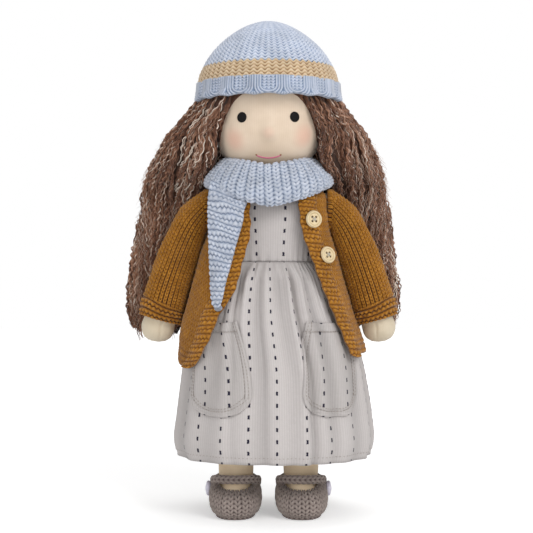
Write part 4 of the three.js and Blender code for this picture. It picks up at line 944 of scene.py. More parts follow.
def pocket_seams(middle_x):
    """Two rows of stitches down one side, round the bottom and up the other, and one along the hem."""
    run, bend = np.linspace(0, 1, 160), np.linspace(-1, 1, 200)
    rows = []
    for inset in POCKET_INSETS:
        a = 1 - inset / (POCKET_WIDTH / 2)
        low = 0.055 + 0.145 * np.abs(bend) ** 3.2 + (inset - POCKET_INSETS[0]) / 90
        rows.append(pocket_seam(middle_x, np.concatenate([np.full(160, -a), bend * a, np.full(160, a)]),
                                np.concatenate([1 - 0.8 * run, low, 0.2 + 0.8 * run])))
    rows.append(pocket_seam(middle_x, 0.96 * bend, np.full(200, 1 - POCKET_HEM / POCKET_FLAT_HEIGHT)))
    return rows


for side, middle_x in POCKET_MIDDLES.items():
    across, t = np.linspace(-1, 1, 76), np.linspace(0, 1, 104)[:, None]
    grid, edge, flat_x, shade = pocket_surface(middle_x, across, t)
    from_top = (1 - t) * (POCKET_TOP_Z - POCKET_LOW_Z)
    grooves = sum(np.exp(-((edge - inset) / 0.5) ** 2) for inset in POCKET_INSETS)
    grooves = grooves + 1.3 * np.exp(-((from_top - POCKET_HEM) / 0.6) ** 2)
    rise = 0.6 + 0.5 * smooth_step(edge, 5.2, 1.2) * smooth_step(edge, 0, 0.8) - 0.5 * np.clip(grooves, 0, 1)
    pocket, flat = fabric(f"pocket_{side}_cotton", grid, SHADED_POCKET_COTTON, rise, depth=1.0, thick=1.0, closed=False,
                          uv=grid_of(flat_x + POCKET_PRINT_SHIFT, t * POCKET_FLAT_HEIGHT), back_rows=20, shade=shade)
    finish_sheet(pocket, flat, "laid", "skirt_cotton", "torso", "cotton", f"dress_pocket_{side}")
    stitches = put_mesh(f"pocket_{side}_stitching", *join(pocket_seams(middle_x)), THREAD)
    finish_piece(stitches, "torso", "thread")

# %% Stitching at the hem
hem_line = skirt_grid[2]
hem_out = normals(skirt_grid)[2]
hem_thread = put_mesh("hem_stitching", *stitch_row(hem_line - 0.1 * hem_out, hem_out, pitch_mm=3.2), THREAD)
finish_piece(hem_thread, "torso", "thread")

# %% [markdown]
# ## The cardigan
#
# Brushed ochre wool, open in front. The body is one surface from one front edge round the back to the other,
# because a knitted back and fronts read as one cloth. Garter bands run up both front edges and stand a
# little proud, the hem is garter too, and the sleeves are deep ribs with a chunky cuff.

# %% Cardigan outlines
FRONT_EDGES = {
    "left": [(23, 258), (24, 246), (26, 230), (37, 198), (45, 178), (53.4, 157), (61, 139), (66, 127)],
    "right": [(14, 258), (14.4, 243), (13.8, 228), (20, 204), (27.7, 178), (37.8, 162), (45, 144), (60, 118)],
}
BAND_MM, BAND_LAP = 17.0, 1.5


def edge_x(side, z):
    """Distance of a front edge from the cardigan's own middle at a height, which leans as the skirt does."""
    x, at = np.array(FRONT_EDGES[side]).T
    return through(z, at, x) - SIDES[side] * lean(z)


def cardigan_point(angle, z, off):
    """A point of the cardigan by angle and height, moved out by off in width and depth."""
    x, y = around(*(size + off for size in half_sizes(CARDIGAN, z)), angle)
    return grid_of(x + lean(z), y, z)


def front_angle(x, z):
    """The angle from the side seam to where the front has the distance x from the middle: the arc cosine of
    (x / half width) to the power SQUARE / 2."""
    return np.arccos(np.clip(x / half_sizes(CARDIGAN, z)[0], 0, 0.999) ** (SQUARE / 2))


CARDIGAN_HALF_SIZES = (70, 63)
QUARTER = np.linspace(0, np.pi / 2, 900)
QUARTER_RUN = np.concatenate([[0], np.cumsum(np.hypot(*np.diff(around(*CARDIGAN_HALF_SIZES, QUARTER), axis=1)))])


def along_front(angle, run, z):
    """The angle that lies run mm nearer the side seam, measured along the cloth: the outline's own length from
    the seam, worked out once for a quarter of it, is scaled by the width at z."""
    size = half_sizes(CARDIGAN, z)[0] / CARDIGAN_HALF_SIZES[0]
    return np.interp(np.interp(angle, QUARTER, QUARTER_RUN) - run / size, QUARTER_RUN, QUARTER)


def cardigan_folds(angle, z):
    """Soft folds that deepen to the hem, and a little unevenness."""
    down = np.clip((215 - z) / 90, 0, 1)
    return 1.1 * down * np.cos(9 * angle + 1.5 * np.sin(2 * angle)) + 0.8 * drift(angle * 60, z, 51, 38)


# %% Cardigan body
BODY_STITCHES, BODY_ROW_MM = 68, 3.9
body_s = np.linspace(0, 1, BODY_STITCHES * 6)
body_t = np.linspace(0, 1, 144)[:, None]
body_low = through(body_s, [0, 0.13, 0.5, 0.87, 1], [128.5, 130.6, 136, 130.0, 119.5])
body_low = body_low + 0.8 * np.sin(31 * body_s) + 0.5 * np.sin(57 * body_s + 1)
body_top = through(body_s, [0, 0.2, 0.5, 0.8, 1], [263, 268, 268.8, 268, 263])
body_z = mix(body_low, body_top, body_t)
under_band = {side: along_front(front_angle(edge_x(side, body_z), body_z), BAND_MM - BAND_LAP, body_z)
              for side in SIDES}
body_angle = mix(-under_band["left"], np.pi + under_band["right"], body_s)
flank = 2.2 * power(np.abs(np.cos(body_angle)), 4) * smooth_step(body_z, 235, 205)
body_grid = cardigan_point(body_angle, body_z, -0.6 + flank + cardigan_folds(body_angle, body_z))
body_rows = (body_z - body_low) / BODY_ROW_MM
body_u = body_s * BODY_STITCHES + 0 * body_t
body_height = mix(knobs(body_u * 1.4, (body_z - body_low) / 3.7), 0.12 + 0.8 * stocking(body_u, body_rows),
                  smooth_step(body_z - body_low, 11, 14)) * uneven(body_u, body_rows, 53)
cardigan, cardigan_flat = fabric("cardigan_knit", body_grid, OCHRE_YARN, body_height, depth=2.1, thick=2.2,
                                 closed=False, back_rows=20)
finish_sheet(cardigan, cardigan_flat, "draped", "bodice_cotton", "torso", "ochre_knit", "cardigan_back",
             "cardigan_front_left", "cardigan_front_right")


# %% Front bands
def band_surface(side):
    """A band: from its front edge BAND_MM back, at each height, 0.9 to 2 mm outside the cardigan's outline."""
    edge = FRONT_EDGES[side]
    across = np.linspace(0, 1, 36)
    if side == "right":
        across = across[::-1]
    t = np.linspace(0, 1, 280)[:, None]
    z = mix(edge[-1][1] + across * 1.5 + 4 * (1 - across) ** 4, edge[0][1] + across * 5, t)
    angle = along_front(front_angle(edge_x(side, z) + 0.5 * np.sin(z / 2.1), z), across * BAND_MM, z)
    angle = -angle if side == "left" else np.pi + angle
    crown_over = 1.1 * np.sin(np.pi * across) + 0.9
    grid = cardigan_point(angle, z, crown_over + cardigan_folds(angle, z))
    u = across * BAND_MM / 3.7 + 0.3 * drift(across * 14, z, 55, 7)
    v = (z - z.min()) * 1.12 / 3.9 + 0.4 * across + 0.3 * drift(across * 14, z, 56, 9)
    return grid, knobs(u, v)


for side in SIDES:
    grid, height = band_surface(side)
    band, flat = fabric(f"cardigan_band_{side}_knit", grid, OCHRE_YARN, height, depth=2.3, thick=2.6, closed=False,
                        back_rows=28)
    finish_sheet(band, flat, "draped", "cardigan_knit", "torso", "ochre_knit", f"cardigan_band_{side}")

# %% [markdown]
# A sleeve is a stack of rings between its inner and its outer edge line. Its ribs are stitch columns with
# gaps that reach nearly through the wool, and the yarn's finish paints shade into those gaps: together they
# make the ribs read as dark lines.

# %% Sleeves and cuffs
SLEEVE_INNER = [(50.8, 227.8), (52.4, 222), (57, 207), (63, 188), (67.6, 170), (71.8, 151.5)]
SLEEVE_OUTER = [(50.8, 262.2), (68.5, 249.5), (82.5, 227), (92, 204), (99.6, 182), (104.8, 160.5)]
SLEEVE_RIBS, CUFF_STITCHES = 29, 28
SLEEVE_ROWS, CUFF_ROWS = 146, 40
SLEEVE_MM, SLEEVE_STITCH_MM = 102, 3.4
ARMHOLE_X = 47.8
SLEEVE_HALF_DEPTH = 17.2
CUFF_SHARE = 0.86


def sleeve_rings(side, start, end, rows, columns, off=0.0):
    """Rings round the sleeve: a share of its length picks a point on each edge line, and the ring between
    them is an ellipse, SLEEVE_HALF_DEPTH deep."""
    inner, _ = line_through(SLEEVE_INNER, 400)
    outer, _ = line_through(SLEEVE_OUTER, 400)
    share = np.linspace(start, end, rows)
    at = np.linspace(0, 1, 400)
    a = np.stack([np.interp(share, at, inner[:, i]) for i in (0, 1)], -1)
    b = np.stack([np.interp(share, at, outer[:, i]) for i in (0, 1)], -1)
    half = (b - a) / 2
    size = np.linalg.norm(half, axis=1, keepdims=True)
    angle = turns(columns)
    puff = off + 0.8 * drift(angle * 17, share[:, None] * 110, 61, 22)
    reach = (size + puff)[..., None] * (half / size)[:, None]
    middle = ((a + b) / 2)[:, None]
    flat = middle + reach * np.cos(angle)[:, None]
    y = (SLEEVE_HALF_DEPTH + puff) * np.sin(angle)
    return mirror(np.stack([flat[..., 0], y, flat[..., 1]], -1), SIDES[side])


for side, sign in SIDES.items():
    rings = sleeve_rings(side, CUFF_SHARE + 0.01, 0.0, SLEEVE_ROWS, SLEEVE_RIBS * 8)
    rings[-1, :, 0] = sign * ARMHOLE_X
    u = np.arange(SLEEVE_RIBS * 8) / 8 + 0.25 * np.sin(np.linspace(0, 3, SLEEVE_ROWS))[:, None]
    v = np.linspace(0, SLEEVE_MM, SLEEVE_ROWS)[:, None] / SLEEVE_STITCH_MM + 0.5 * np.sin(np.floor(u) * 1.9)
    sleeve, flat = fabric(f"cardigan_sleeve_{side}_knit", rings, OCHRE_YARN, rib_columns(u, v) * uneven(u, v, 62),
                          depth=2.3, thick=2.4)
    finish_sheet(sleeve, flat, "draped", f"arm_{side}_jersey", f"arm_{side}", "ochre_knit", f"cardigan_sleeve_{side}")

    rings = sleeve_rings(side, 1.0, CUFF_SHARE, CUFF_ROWS, CUFF_STITCHES * 8, 0.4)
    swell = np.sin(np.linspace(0, np.pi, CUFF_ROWS))[:, None]
    rings += normals(rings) * swell[..., None]
    u = np.arange(CUFF_STITCHES * 8) / 8
    v = np.linspace(0, 4.0, CUFF_ROWS)[:, None] + 0.5 + 0.2 * np.sin(TURN * u / 9)
    cuff, flat = fabric(f"cardigan_cuff_{side}_knit", rings, OCHRE_YARN, knobs(u + 0 * swell, v, 0.05), depth=2.8,
                        thick=3.2)
    finish_sheet(cuff, flat, "draped", f"arm_{side}_jersey", f"arm_{side}", "ochre_knit", f"cardigan_cuff_{side}")

# %% [markdown]
# ## Wooden buttons
#
# Turned from pale wood, with a raised rim and four holes, sewn on with a thread cross. The face is a disc
# whose height is a function of the distance from the middle, with four pits.


# %% Buttons
def turned_wood(name):
    """Oiled wood: noise stretched along one axis is its grain, and where the relief is low, in the pits and at
    the rim, it is darker: painted shade.
    """
    material, tree = new_material(name)
    place = add(tree, "TexCoord").outputs["Object"]
    stretched = add(tree, "Mapping", {"Vector": place, "Rotation": (0.3, 0.2, 0.5), "Scale": (900, 900, 130)})
    grain = add(tree, "TexNoise", {"Vector": stretched, "Scale": 1.0, "Detail": 5.0, "Roughness": 0.7})
    relief = add(tree, "Attribute", attribute_name="relief").outputs["Fac"]
    level = add(tree, "Math", {0: grain, 1: 0.45, 2: relief}, operation="MULTIPLY_ADD")
    colour = colour_stops(tree, level, [(0.1, "#4A3826"), (0.4, "#A98E66"), (0.75, "#D2BC92"), (1.0, "#E3D2AF")])
    bump = add(tree, "Bump", {"Height": grain, "Strength": 0.3, "Distance": 0.0002})
    return surface(material, {"Base Color": colour, "Roughness": 0.5, "Coat Weight": 0.15, "Coat Roughness": 0.4,
                              "Normal": bump})


WOOD = turned_wood("turned_pale_wood")
BUTTON_RADIUS, BUTTON_THICK, HOLE_SPREAD, HOLE_RADIUS = 6.9, 2.6, 1.65, 0.95
BUTTON_COLUMNS = 80
BUTTON_PLACES = {"upper": (33.2, 236.6), "lower": (43.8, 208.2)}


def button_frame(x, z):
    """Place and three directions, across, up and out, on the cardigan's front at x, z, from small steps along
    it. Sewn loosely, the button lies a quarter flatter than the cloth."""
    def on_cloth(x, z):
        angle = -front_angle(x, np.array(z))
        return cardigan_point(angle, np.array(z, float), 3.4)

    here = on_cloth(x, z)
    cloth_across, step_up = unit(on_cloth(x + 1, z) - here), on_cloth(x, z + 1) - here
    up = unit(step_up - cloth_across * np.dot(step_up, cloth_across))
    across = cloth_across * 0.75 + np.array([0.25, 0, 0])
    across = unit(across - up * np.dot(across, up))
    return here, across, up, np.cross(across, up)


def button_face():
    """Distance from the middle, lift and relief, from the foot over the rim to the middle: a face sunk 0.7 mm
    inside a raised rim, with four pits, HOLE_SPREAD off both middle lines."""
    angle = turns(BUTTON_COLUMNS)
    face = np.linspace(BUTTON_RADIUS, 0.04, 58)[:, None]
    x, y = face * np.cos(angle), face * np.sin(angle)
    hole = np.minimum.reduce([np.hypot(x - a * HOLE_SPREAD, y - b * HOLE_SPREAD) for a in (-1, 1) for b in (-1, 1)])
    pit = 1 - smooth_step(hole, HOLE_RADIUS * 0.75, HOLE_RADIUS * 1.1)
    rim = smooth_step(face, 4.6, 5.4) * (1 - smooth_step(face, 6.0, 6.9))
    lift = BUTTON_THICK - 0.7 + 0.75 * rim - 0.9 * smooth_step(face, 6.3, 6.8) - 1.7 * pit
    # relief: painted shade, low in the pits and in the groove inside the rim, and 0.3 on the foot below.
    relief = 0.62 - 0.75 * pit - 0.25 * np.exp(-((face - 4.7) / 0.35) ** 2) + 0 * angle
    wide = np.ones(BUTTON_COLUMNS)
    radius = np.concatenate([np.array([[6.4], [6.8], [6.8]]) * wide, face * wide])
    lift = np.concatenate([np.array([[0.0], [0.4], [BUTTON_THICK - 1.7]]) * wide, lift])
    return radius, lift, np.concatenate([np.full((3, BUTTON_COLUMNS), 0.3), relief])


def thread_cross(here, across, up, out):
    """Two times three threads that rise out of one hole, cross the middle and dive into the opposite one."""
    ends = np.array([[(-1, -1), (1, 1)], [(1, -1), (-1, 1)]]) * HOLE_SPREAD * 0.72
    run = np.linspace(0, 1, 12)[:, None]
    legs = []
    for shift in (-0.28, 0.0, 0.28):
        for i, (a, b) in enumerate(ends):
            flat = mix(a, b, run) + np.array([shift, -shift if i == 0 else shift])
            rise = BUTTON_THICK - 1.6 + (1.45 + 0.2 * i) * np.sin(np.pi * run) ** 0.25
            legs.append(here + flat[:, :1] * across + flat[:, 1:] * up + rise * out)
    return tubes(np.array(legs), 0.2, 6, (0.3, 0.2, 1))


for name, (x, z) in BUTTON_PLACES.items():
    here, across, up, out = button_frame(x, z)
    angle = turns(BUTTON_COLUMNS)
    radius, lift, relief = button_face()
    rings = (here + (radius * np.cos(angle))[..., None] * across + (radius * np.sin(angle))[..., None] * up
             + lift[..., None] * out)
    button = stuffed(f"cardigan_button_{name}_wood", rings, [here, here + out * (BUTTON_THICK - 0.7)], WOOD,
                     values={"relief": np.append(relief.ravel(), [0.3, 0.62])})
    finish_piece(button, "torso", "wood", f"cardigan_button_{name}")
    cross = put_mesh(f"button_{name}_thread", *thread_cross(here, across, up, out), WHITE_WOOL)
    finish_piece(cross, "torso", "thread")
print("buttons ready")

# %% [markdown]
# ## The body
#
# Cream cotton jersey, stuffed firm with wool. Torso, arms and legs are stacks of rings that follow the
# frame's solids. The jersey's fine columns are drawn in the shader from each piece's UV map in millimetres,
# and the blush and the shade under the chin are soft spots round places in the object's own space.

# %% Jersey
JERSEY_COLUMN_MM = 1.3
# Soft spots of colour on the face: place, inner and outer distance, strength and colour. The blush on each
# cheek, the nose, and the shade under the chin.
FACE_SPOTS = [
    ((-0.0290, -0.035, 0.2985), 0.002, 0.0145, 0.42, "#DC9C86"),
    ((0.0300, -0.035, 0.3020), 0.002, 0.0145, 0.42, "#DC9C86"),
    ((0.0, -0.047, 0.3035), 0.001, 0.0075, 0.22, "#DDA08C"),
    ((0.0, -0.036, 0.2785), 0.006, 0.03, 0.75, "#C4AF98"),
]


def jersey(name, cream, shade, spots=()):
    """Fine jersey: columns JERSEY_COLUMN_MM apart as a bump, the distance from a column times small beads
    along it, and a faint mottling of the dye. Each spot mixes its colour in by the distance from its place."""
    material, tree = new_material(name)
    flat = add(tree, "UVMap", uv_map="flat_mm").outputs[0]
    place = add(tree, "TexCoord").outputs["Object"]
    parts = add(tree, "SeparateXYZ", {0: flat}).outputs
    column = add(tree, "Math", {0: parts[0], 1: JERSEY_COLUMN_MM / 2}, operation="PINGPONG")
    bead = add(tree, "Math", {0: parts[1], 1: column}, operation="ADD")
    bead = add(tree, "Math", {0: bead, 1: 0.5}, operation="PINGPONG")
    knit = add(tree, "Math", {0: column, 1: bead}, operation="MULTIPLY")
    mottle = add(tree, "TexNoise", {"Vector": place, "Scale": 70.0, "Detail": 4.0})
    level = add(tree, "Math", {0: knit, 1: 0.9, 2: mottle}, operation="MULTIPLY_ADD")
    colour = colour_stops(tree, level, [(0.25, shade), (0.8, cream)])
    for spot, near, far, strength, tint in spots:
        distance = add(tree, "VectorMath", {0: place, 1: spot}, operation="DISTANCE").outputs["Value"]
        amount = remap(tree, distance, near, far, strength, 0, interpolation_type="SMOOTHSTEP")
        colour = add(tree, "Mix", {0: amount, 6: colour, 7: linear(tint)}, data_type="RGBA").outputs[2]
    bump = add(tree, "Bump", {"Height": knit, "Strength": 0.5, "Distance": 0.0003})
    return surface(material, {"Base Color": colour, "Roughness": 0.9, "Specular IOR Level": 0.25,
                              "Sheen Weight": 0.2, "Sheen Roughness": 0.5, "Normal": bump})


FACE_JERSEY = jersey("cotton_jersey_face", "#E0CDB8", "#D3BEA7", FACE_SPOTS)
BODY_JERSEY = jersey("cotton_jersey_body", "#DACDB6", "#C9BAA0")
# The legs get a lighter copy of the body's cream jersey: painted light that makes up for the shade under the skirt.
LEG_JERSEY = jersey("cotton_jersey_legs", "#FCE6C6", "#F0D6B2")


def flat_uv(rings):
    """UV in millimetres for a stack of rings: round by each ring's share of the mean girth, and up by the
    length of the first column."""
    girth = row_lengths(rings, True).mean()
    u = np.arange(rings.shape[1]) * girth / rings.shape[1]
    v = run_length(rings[:, 0])
    uv = grid_of(u, v[:, None]).reshape(-1, 2)
    return np.concatenate([uv, [[0, v[0]], [0, v[-1]]]]), girth


def stuffed_jersey(name, rings, ends, material, body, fill, *nodes):
    """A stuffed piece of jersey on its body; fill is not used."""
    uv, girth = flat_uv(rings)
    made = stuffed(name, rings, ends, material, uv, girth)
    finish_piece(made, body, "jersey", *nodes)
    return made


# %% Torso
TORSO_RINGS = np.array([(30, 19, 157.4), (34.5, 22.5, 158.4), (38.5, 26, 163), (41, 28.5, 174), (40.5, 28.5, 186),
                        (37.5, 26.5, 203.2), (40, 28, 222), (43, 29, 238), (43, 28, 247), (40, 25.5, 255),
                        (32, 22, 261), (24, 20, 264.5), (18.2, 17.8, 266.6)])
torso_angles = even_angles(40, 28, SQUARE, 96)
torso_z = np.linspace(157.4, 266.6, 60)[:, None]
torso_x, torso_y = around(*half_sizes(TORSO_RINGS, torso_z), torso_angles)
torso_rings = grid_of(torso_x, torso_y, torso_z)
stuffed_jersey("body_jersey", torso_rings, [(0, 0, 157.2), (0, 0, 266.8)], BODY_JERSEY, "torso", 0.9, "torso_skin")


# %% Arms and hands
def limb_rings(sections, columns, rows, across):
    """Rings along a limb: each section is two edge points and a half depth across them, and a smooth line
    through all the sections' numbers gives the rings between."""
    numbers, _ = line_through(sections, rows)
    a, b, depth = numbers[:, 0:3], numbers[:, 3:6], numbers[:, 6:7]
    angle = turns(columns)
    middle, half = ((a + b) / 2)[:, None], ((b - a) / 2)[:, None]
    return middle + half * np.cos(angle)[:, None] + (depth * np.sin(angle))[..., None] * np.array(across)


ARM_INSET, ARM_HALF_DEPTH, ARM_COLUMNS = 3.9, 13.2, 96
HAND = [(76.6, 150, 103.6, 152.6, 12.6), (77.4, 145.5, 103.4, 146.6, 11.8), (80.2, 140.8, 100.6, 141.4, 8.6),
        (84.5, 138.2, 96, 138.6, 4.6)]


def arm_sections():
    """The arm inside its sleeve, ARM_INSET from the wool's outside, then the mitten hand."""
    sections = [[44.5, 0, 230.6, 44.5, 0, 259.4, ARM_HALF_DEPTH]]
    for a, b in zip(line_through(SLEEVE_INNER, 9)[0], line_through(SLEEVE_OUTER, 9)[0]):
        pull = (b - a) / np.linalg.norm(b - a) * ARM_INSET
        sections.append([a[0] + pull[0], 0, a[1] + pull[1], b[0] - pull[0], 0, b[1] - pull[1], ARM_HALF_DEPTH])
    return sections + [[ax, 0, az, bx, 0, bz, depth] for ax, az, bx, bz, depth in HAND]


for side, sign in SIDES.items():
    rings = mirror(limb_rings(arm_sections(), ARM_COLUMNS, 110, (0, 1, 0)), sign)
    angle = turns(ARM_COLUMNS)
    seam = np.exp(-(np.sin(angle / 2 + np.pi / 4 + 0.12) / 0.035) ** 2)
    seam = seam + np.exp(-(np.cos(angle / 2 + np.pi / 4) / 0.035) ** 2)
    hand_only = smooth_step(np.arange(110)[:, None], 82, 91)
    middle = rings.mean(axis=1, keepdims=True)
    rings = middle + (rings - middle) * (1 - 0.06 * (seam * hand_only))[..., None]
    tip = mirror(np.array([90.2, 0, 137.6]), sign)
    stuffed_jersey(f"arm_{side}_jersey", rings, [rings[0].mean(axis=0), tip], BODY_JERSEY, f"arm_{side}", 0.85,
                   f"arm_skin_{side}")

# %% Legs
LEG_X = 26.5
LEG = [(2.4, 156.2, -2.4, 156.2, 14.5), (9.5, 146.6, -9.5, 146.6, 15.2), (15, 133.8, -15, 133.8, 15.2),
       (15.2, 95, -15.2, 95, 15.3), (15.2, 60, -15.2, 60, 15.2), (14.2, 34, -14.2, 34, 14.2),
       (13.4, 20, -16.6, 29.0, 13.9), (12, 10.5, -20.5, 25.0, 14.2), (5, 5.4, -25.5, 21.5, 14.5),
       (-10, 4.6, -31, 18.8, 14.5), (-24, 4.8, -37.4, 15.6, 12.9), (-34, 6, -42, 12.2, 8.8)]
for side, sign in SIDES.items():
    sections = [[0, ay, az, 0, by, bz, width] for ay, az, by, bz, width in LEG]
    rings = limb_rings(sections, 64, 100, (1, 0, 0)) + np.array([sign * LEG_X, 0, 0])
    stuffed_jersey(f"leg_{side}_jersey", rings, [(sign * LEG_X, 0, 156.4), (sign * LEG_X, -43.2, 8.8)], LEG_JERSEY,
                   f"leg_{side}", 0.9, f"leg_skin_{side}")
print("torso, arms and legs ready")

# %% [markdown]
# ## The head
#
# A ball of wool tied in jersey: its radius at each height follows a rounded profile, and the face is only a
# few soft rises on it, each a bell curve: the nose, the cheeks, the sockets round the eyes and the chin. The
# eyes are flat black ovals and the mouth is one pink thread.

# %% Head surface
HEAD_RADIUS, HEAD_Z, HEAD_HALF, HEAD_ROUND = 46.0, 327.0, 54.0, 2.4
NECK_RADIUS, NECK_Z = 18.0, 267.4
HEAD_COLUMNS = 190
EYE_HALF = (3.75, 4.1)
MOUTH_Z, MOUTH_HALF, MOUTH_SAG = 287.2, 9.6, 2.1
EYES = {"left": (20.6, 316.9), "right": (-21.0, 316.6)}
FACE_BUMPS = [(0.3, 303.4, 5.4, 4.8, 4.2), (0.0, 310.0, 4.5, 7.0, 1.0), (27.0, 300.0, 11.0, 10.0, 1.0),
              (-27.0, 300.0, 11.0, 10.0, 1.0), (20.6, 316.9, 7.0, 6.5, -0.7), (-21.0, 316.6, 7.0, 6.5, -0.7),
              (0.0, 280.0, 9.0, 5.0, 0.8), (0.0, 287.0, 9.0, 2.4, -0.5)]


def head_radius(z):
    """Radius at a height: HEAD_RADIUS times (1 - (distance from the middle / half height)^2.4)^(1/2.4), and
    no less than the neck under the chin."""
    share = np.clip(np.abs(z - HEAD_Z) / HEAD_HALF, 0, 1) ** HEAD_ROUND
    radius = HEAD_RADIUS * (1 - share) ** (1 / HEAD_ROUND)
    return np.where(z < HEAD_Z, np.maximum(radius, NECK_RADIUS), radius)


def face_rise(x, y, z):
    """The sum of the face's bell curves, on the front half only: centre x and z, two widths and a height."""
    return (y < 0) * sum(height * np.exp(-((x - cx) / wx) ** 2 - ((z - cz) / wz) ** 2)
                         for cx, cz, wx, wz, height in FACE_BUMPS)


def face_y(x, z):
    """Y of the face's surface at x and z."""
    radius = head_radius(z)
    flat_y = -np.sqrt(np.clip(radius**2 - x**2, 1, None))
    return flat_y * (1 + face_rise(x, flat_y, z) / radius)


head_turn_angle = np.linspace(np.pi, 0, 130)
head_z = HEAD_Z + HEAD_HALF * power(np.cos(head_turn_angle), 2 / HEAD_ROUND)
head_z = head_z[(head_z > NECK_Z + 0.8) & (head_z < HEAD_Z + HEAD_HALF - 0.01)]
head_z = np.append(NECK_Z, head_z)[:, None]
head_angle = turns(HEAD_COLUMNS)
radius = head_radius(head_z)
x, y = radius * np.cos(head_angle), radius * np.sin(head_angle)
swell = 1 + face_rise(x, y, head_z) / radius
head_rings = grid_of(x * swell, y * swell, head_z)
stuffed_jersey("head_jersey", head_rings, [(0, 0, NECK_Z - 0.1), (0, 0, HEAD_Z + HEAD_HALF)], FACE_JERSEY, "head", 0.95,
               "head_skin")


# %% Eyes and mouth
def grained(name, scale, stops, inputs, bump=0):
    """A plain finish: fine noise chooses the colour between the stops, and is a bump of the strength bump."""
    material, tree = new_material(name)
    place = add(tree, "TexCoord").outputs["Object"]
    grain = add(tree, "TexNoise", {"Vector": place, "Scale": scale, "Detail": 3.0})
    inputs = {"Base Color": colour_stops(tree, grain, stops), **inputs}
    if bump:
        inputs["Normal"] = add(tree, "Bump", {"Height": grain, "Strength": bump, "Distance": 0.0002})
    return surface(material, inputs)


# Waxed black felt: nearly black and satin, with a fine texture that breaks the shine.
EYE_BLACK = grained("waxed_black_felt", 1 / (0.7 * MM), [(0.3, "#060606"), (0.75, "#131112")],
                    {"Roughness": 0.6, "Specular IOR Level": 0.15}, bump=0.5)
PINK_THREAD = yarn("embroidery_thread_pink", [(0.0, "#C66487"), (1.0, "#E08AA6")], fibre_mm=0.3, reading="none")
BROWN_THREAD = yarn("embroidery_thread_brown", [(0.0, "#8A6244"), (1.0, "#A87F5C")], fibre_mm=0.3, reading="none")
for side, (eye_x, eye_z) in EYES.items():
    dome = np.linspace(1, 0.04, 22)
    share = np.concatenate([np.linspace(0.05, 1, 8), dome])[:, None]
    lift = np.concatenate([np.full(8, -0.6), 0.1 + 1.25 * np.sqrt(1 - dome ** 3)])[:, None]
    angle = turns(64)
    x = eye_x + EYE_HALF[0] * share * np.cos(angle)
    z = eye_z + EYE_HALF[1] * share * np.sin(angle)
    rings = np.stack([x, face_y(x, z) - lift, z], -1)
    middle_y = face_y(np.array(eye_x), np.array(eye_z))
    eye = stuffed(f"eye_{side}_felt", rings, [(eye_x, middle_y + 0.6, eye_z), (eye_x, middle_y - 1.35, eye_z)],
                  EYE_BLACK)
    finish_piece(eye, "head", "eye", f"eye_{side}")

mouth_share = np.linspace(-1, 1, 60)
mouth_x, mouth_z = mouth_share * MOUTH_HALF, MOUTH_Z - MOUTH_SAG * (1 - mouth_share**2)
mouth_path = np.stack([mouth_x, face_y(mouth_x, mouth_z) - 0.25, mouth_z], -1)
mouth = put_mesh("mouth_thread", *tubes(mouth_path[None], 0.5, 8, (0, 0, 1)), PINK_THREAD)
finish_piece(mouth, "head", "mouth", "mouth_stitch")
knots = mouth_path[[0, -1], None] + [0, -0.1, 0.4] + np.linspace(-1, 1, 9)[:, None] * [0.55, 0, 0.5]
knot_radius = 0.8 * np.sqrt(1 - np.linspace(-0.93, 0.93, 9) ** 2)
ends = put_mesh("mouth_end_knots", *tubes(knots, knot_radius, 10, (0, 1, 0)), BROWN_THREAD)
finish_piece(ends, "head", "thread")
print("head, eyes and mouth ready")

# %% [markdown]
# ## Crocheted shoes
#
# Thick taupe crochet: rounds of V stitches climb from the sole, bulge over the foot and close in on an open
# instep, where a two-row strap crosses. The upper is one surface between three outlines seen from above:
# the sole's, the widest one and the mouth's. A cubic curve carries each column from one to the next.

# %% Shoe surfaces
SHOE_STITCHES, SHOE_ROWS = 36, 74
SHOE_COLUMNS = SHOE_STITCHES * 7
SHOE_ROW_MM = 4.3
SOLE_Y = -11.8
SOLE_COLUMNS, SOLE_LOOPS = 160, 40
# Outlines of the upper from above, from the sole over the widest ones to the mouth: middle y, half length, half
# width, taper and squareness.
SHOE_SQUARE = 2.35
SHOE_OUTLINES = [(SOLE_Y, 31.6, 14.6, 0.10, SHOE_SQUARE), (-14.2, 36.8, 22.6, 0.09, SHOE_SQUARE),
                 (-14.6, 36.4, 22.2, 0.09, SHOE_SQUARE), (-6.4, 21.9, 14.6, 0.0, 2.1)]


def shoe_outline(angle, middle_y, half_length, half_width, taper, square=SHOE_SQUARE):
    """An outline from above: a squarish oval, narrower at the heel by the share taper."""
    x = half_width * power(np.cos(angle), 2 / square) * (1 - taper * np.sin(angle))
    y = middle_y + half_length * power(np.sin(angle), 2 / square)
    return x, y


def shoe_surface(columns, rows):
    """The upper by angle and t, from the sole (0) to the mouth (1): a cubic curve whose first and last points
    are on the sole's and the mouth's outlines, and whose two others are on the widest outline, low and high."""
    angle = even_angles(18, 34, SHOE_SQUARE, columns)
    t = np.linspace(0, 1, rows)[:, None]
    front = 0.5 - 0.5 * np.sin(angle)
    rim_z = 29.4 - 8.6 * smooth_step(front, 0.35, 1.0)
    top_z = mix(29.0, 19.6, smooth_step(front, 0.2, 0.95))
    corners = [(*shoe_outline(angle, *outline), z) for outline, z in zip(SHOE_OUTLINES, (2.4, 4.0, top_z, rim_z))]
    weights = (1 - t) ** 3, 3 * t * (1 - t) ** 2, 3 * t**2 * (1 - t), t**3
    x, y, z = (sum(weight * corner[i] for weight, corner in zip(weights, corners)) for i in range(3))
    lump = 0.35 * drift(angle * 20, t * 30, 71, 12)
    return grid_of(x + lump * np.cos(angle), y, z)


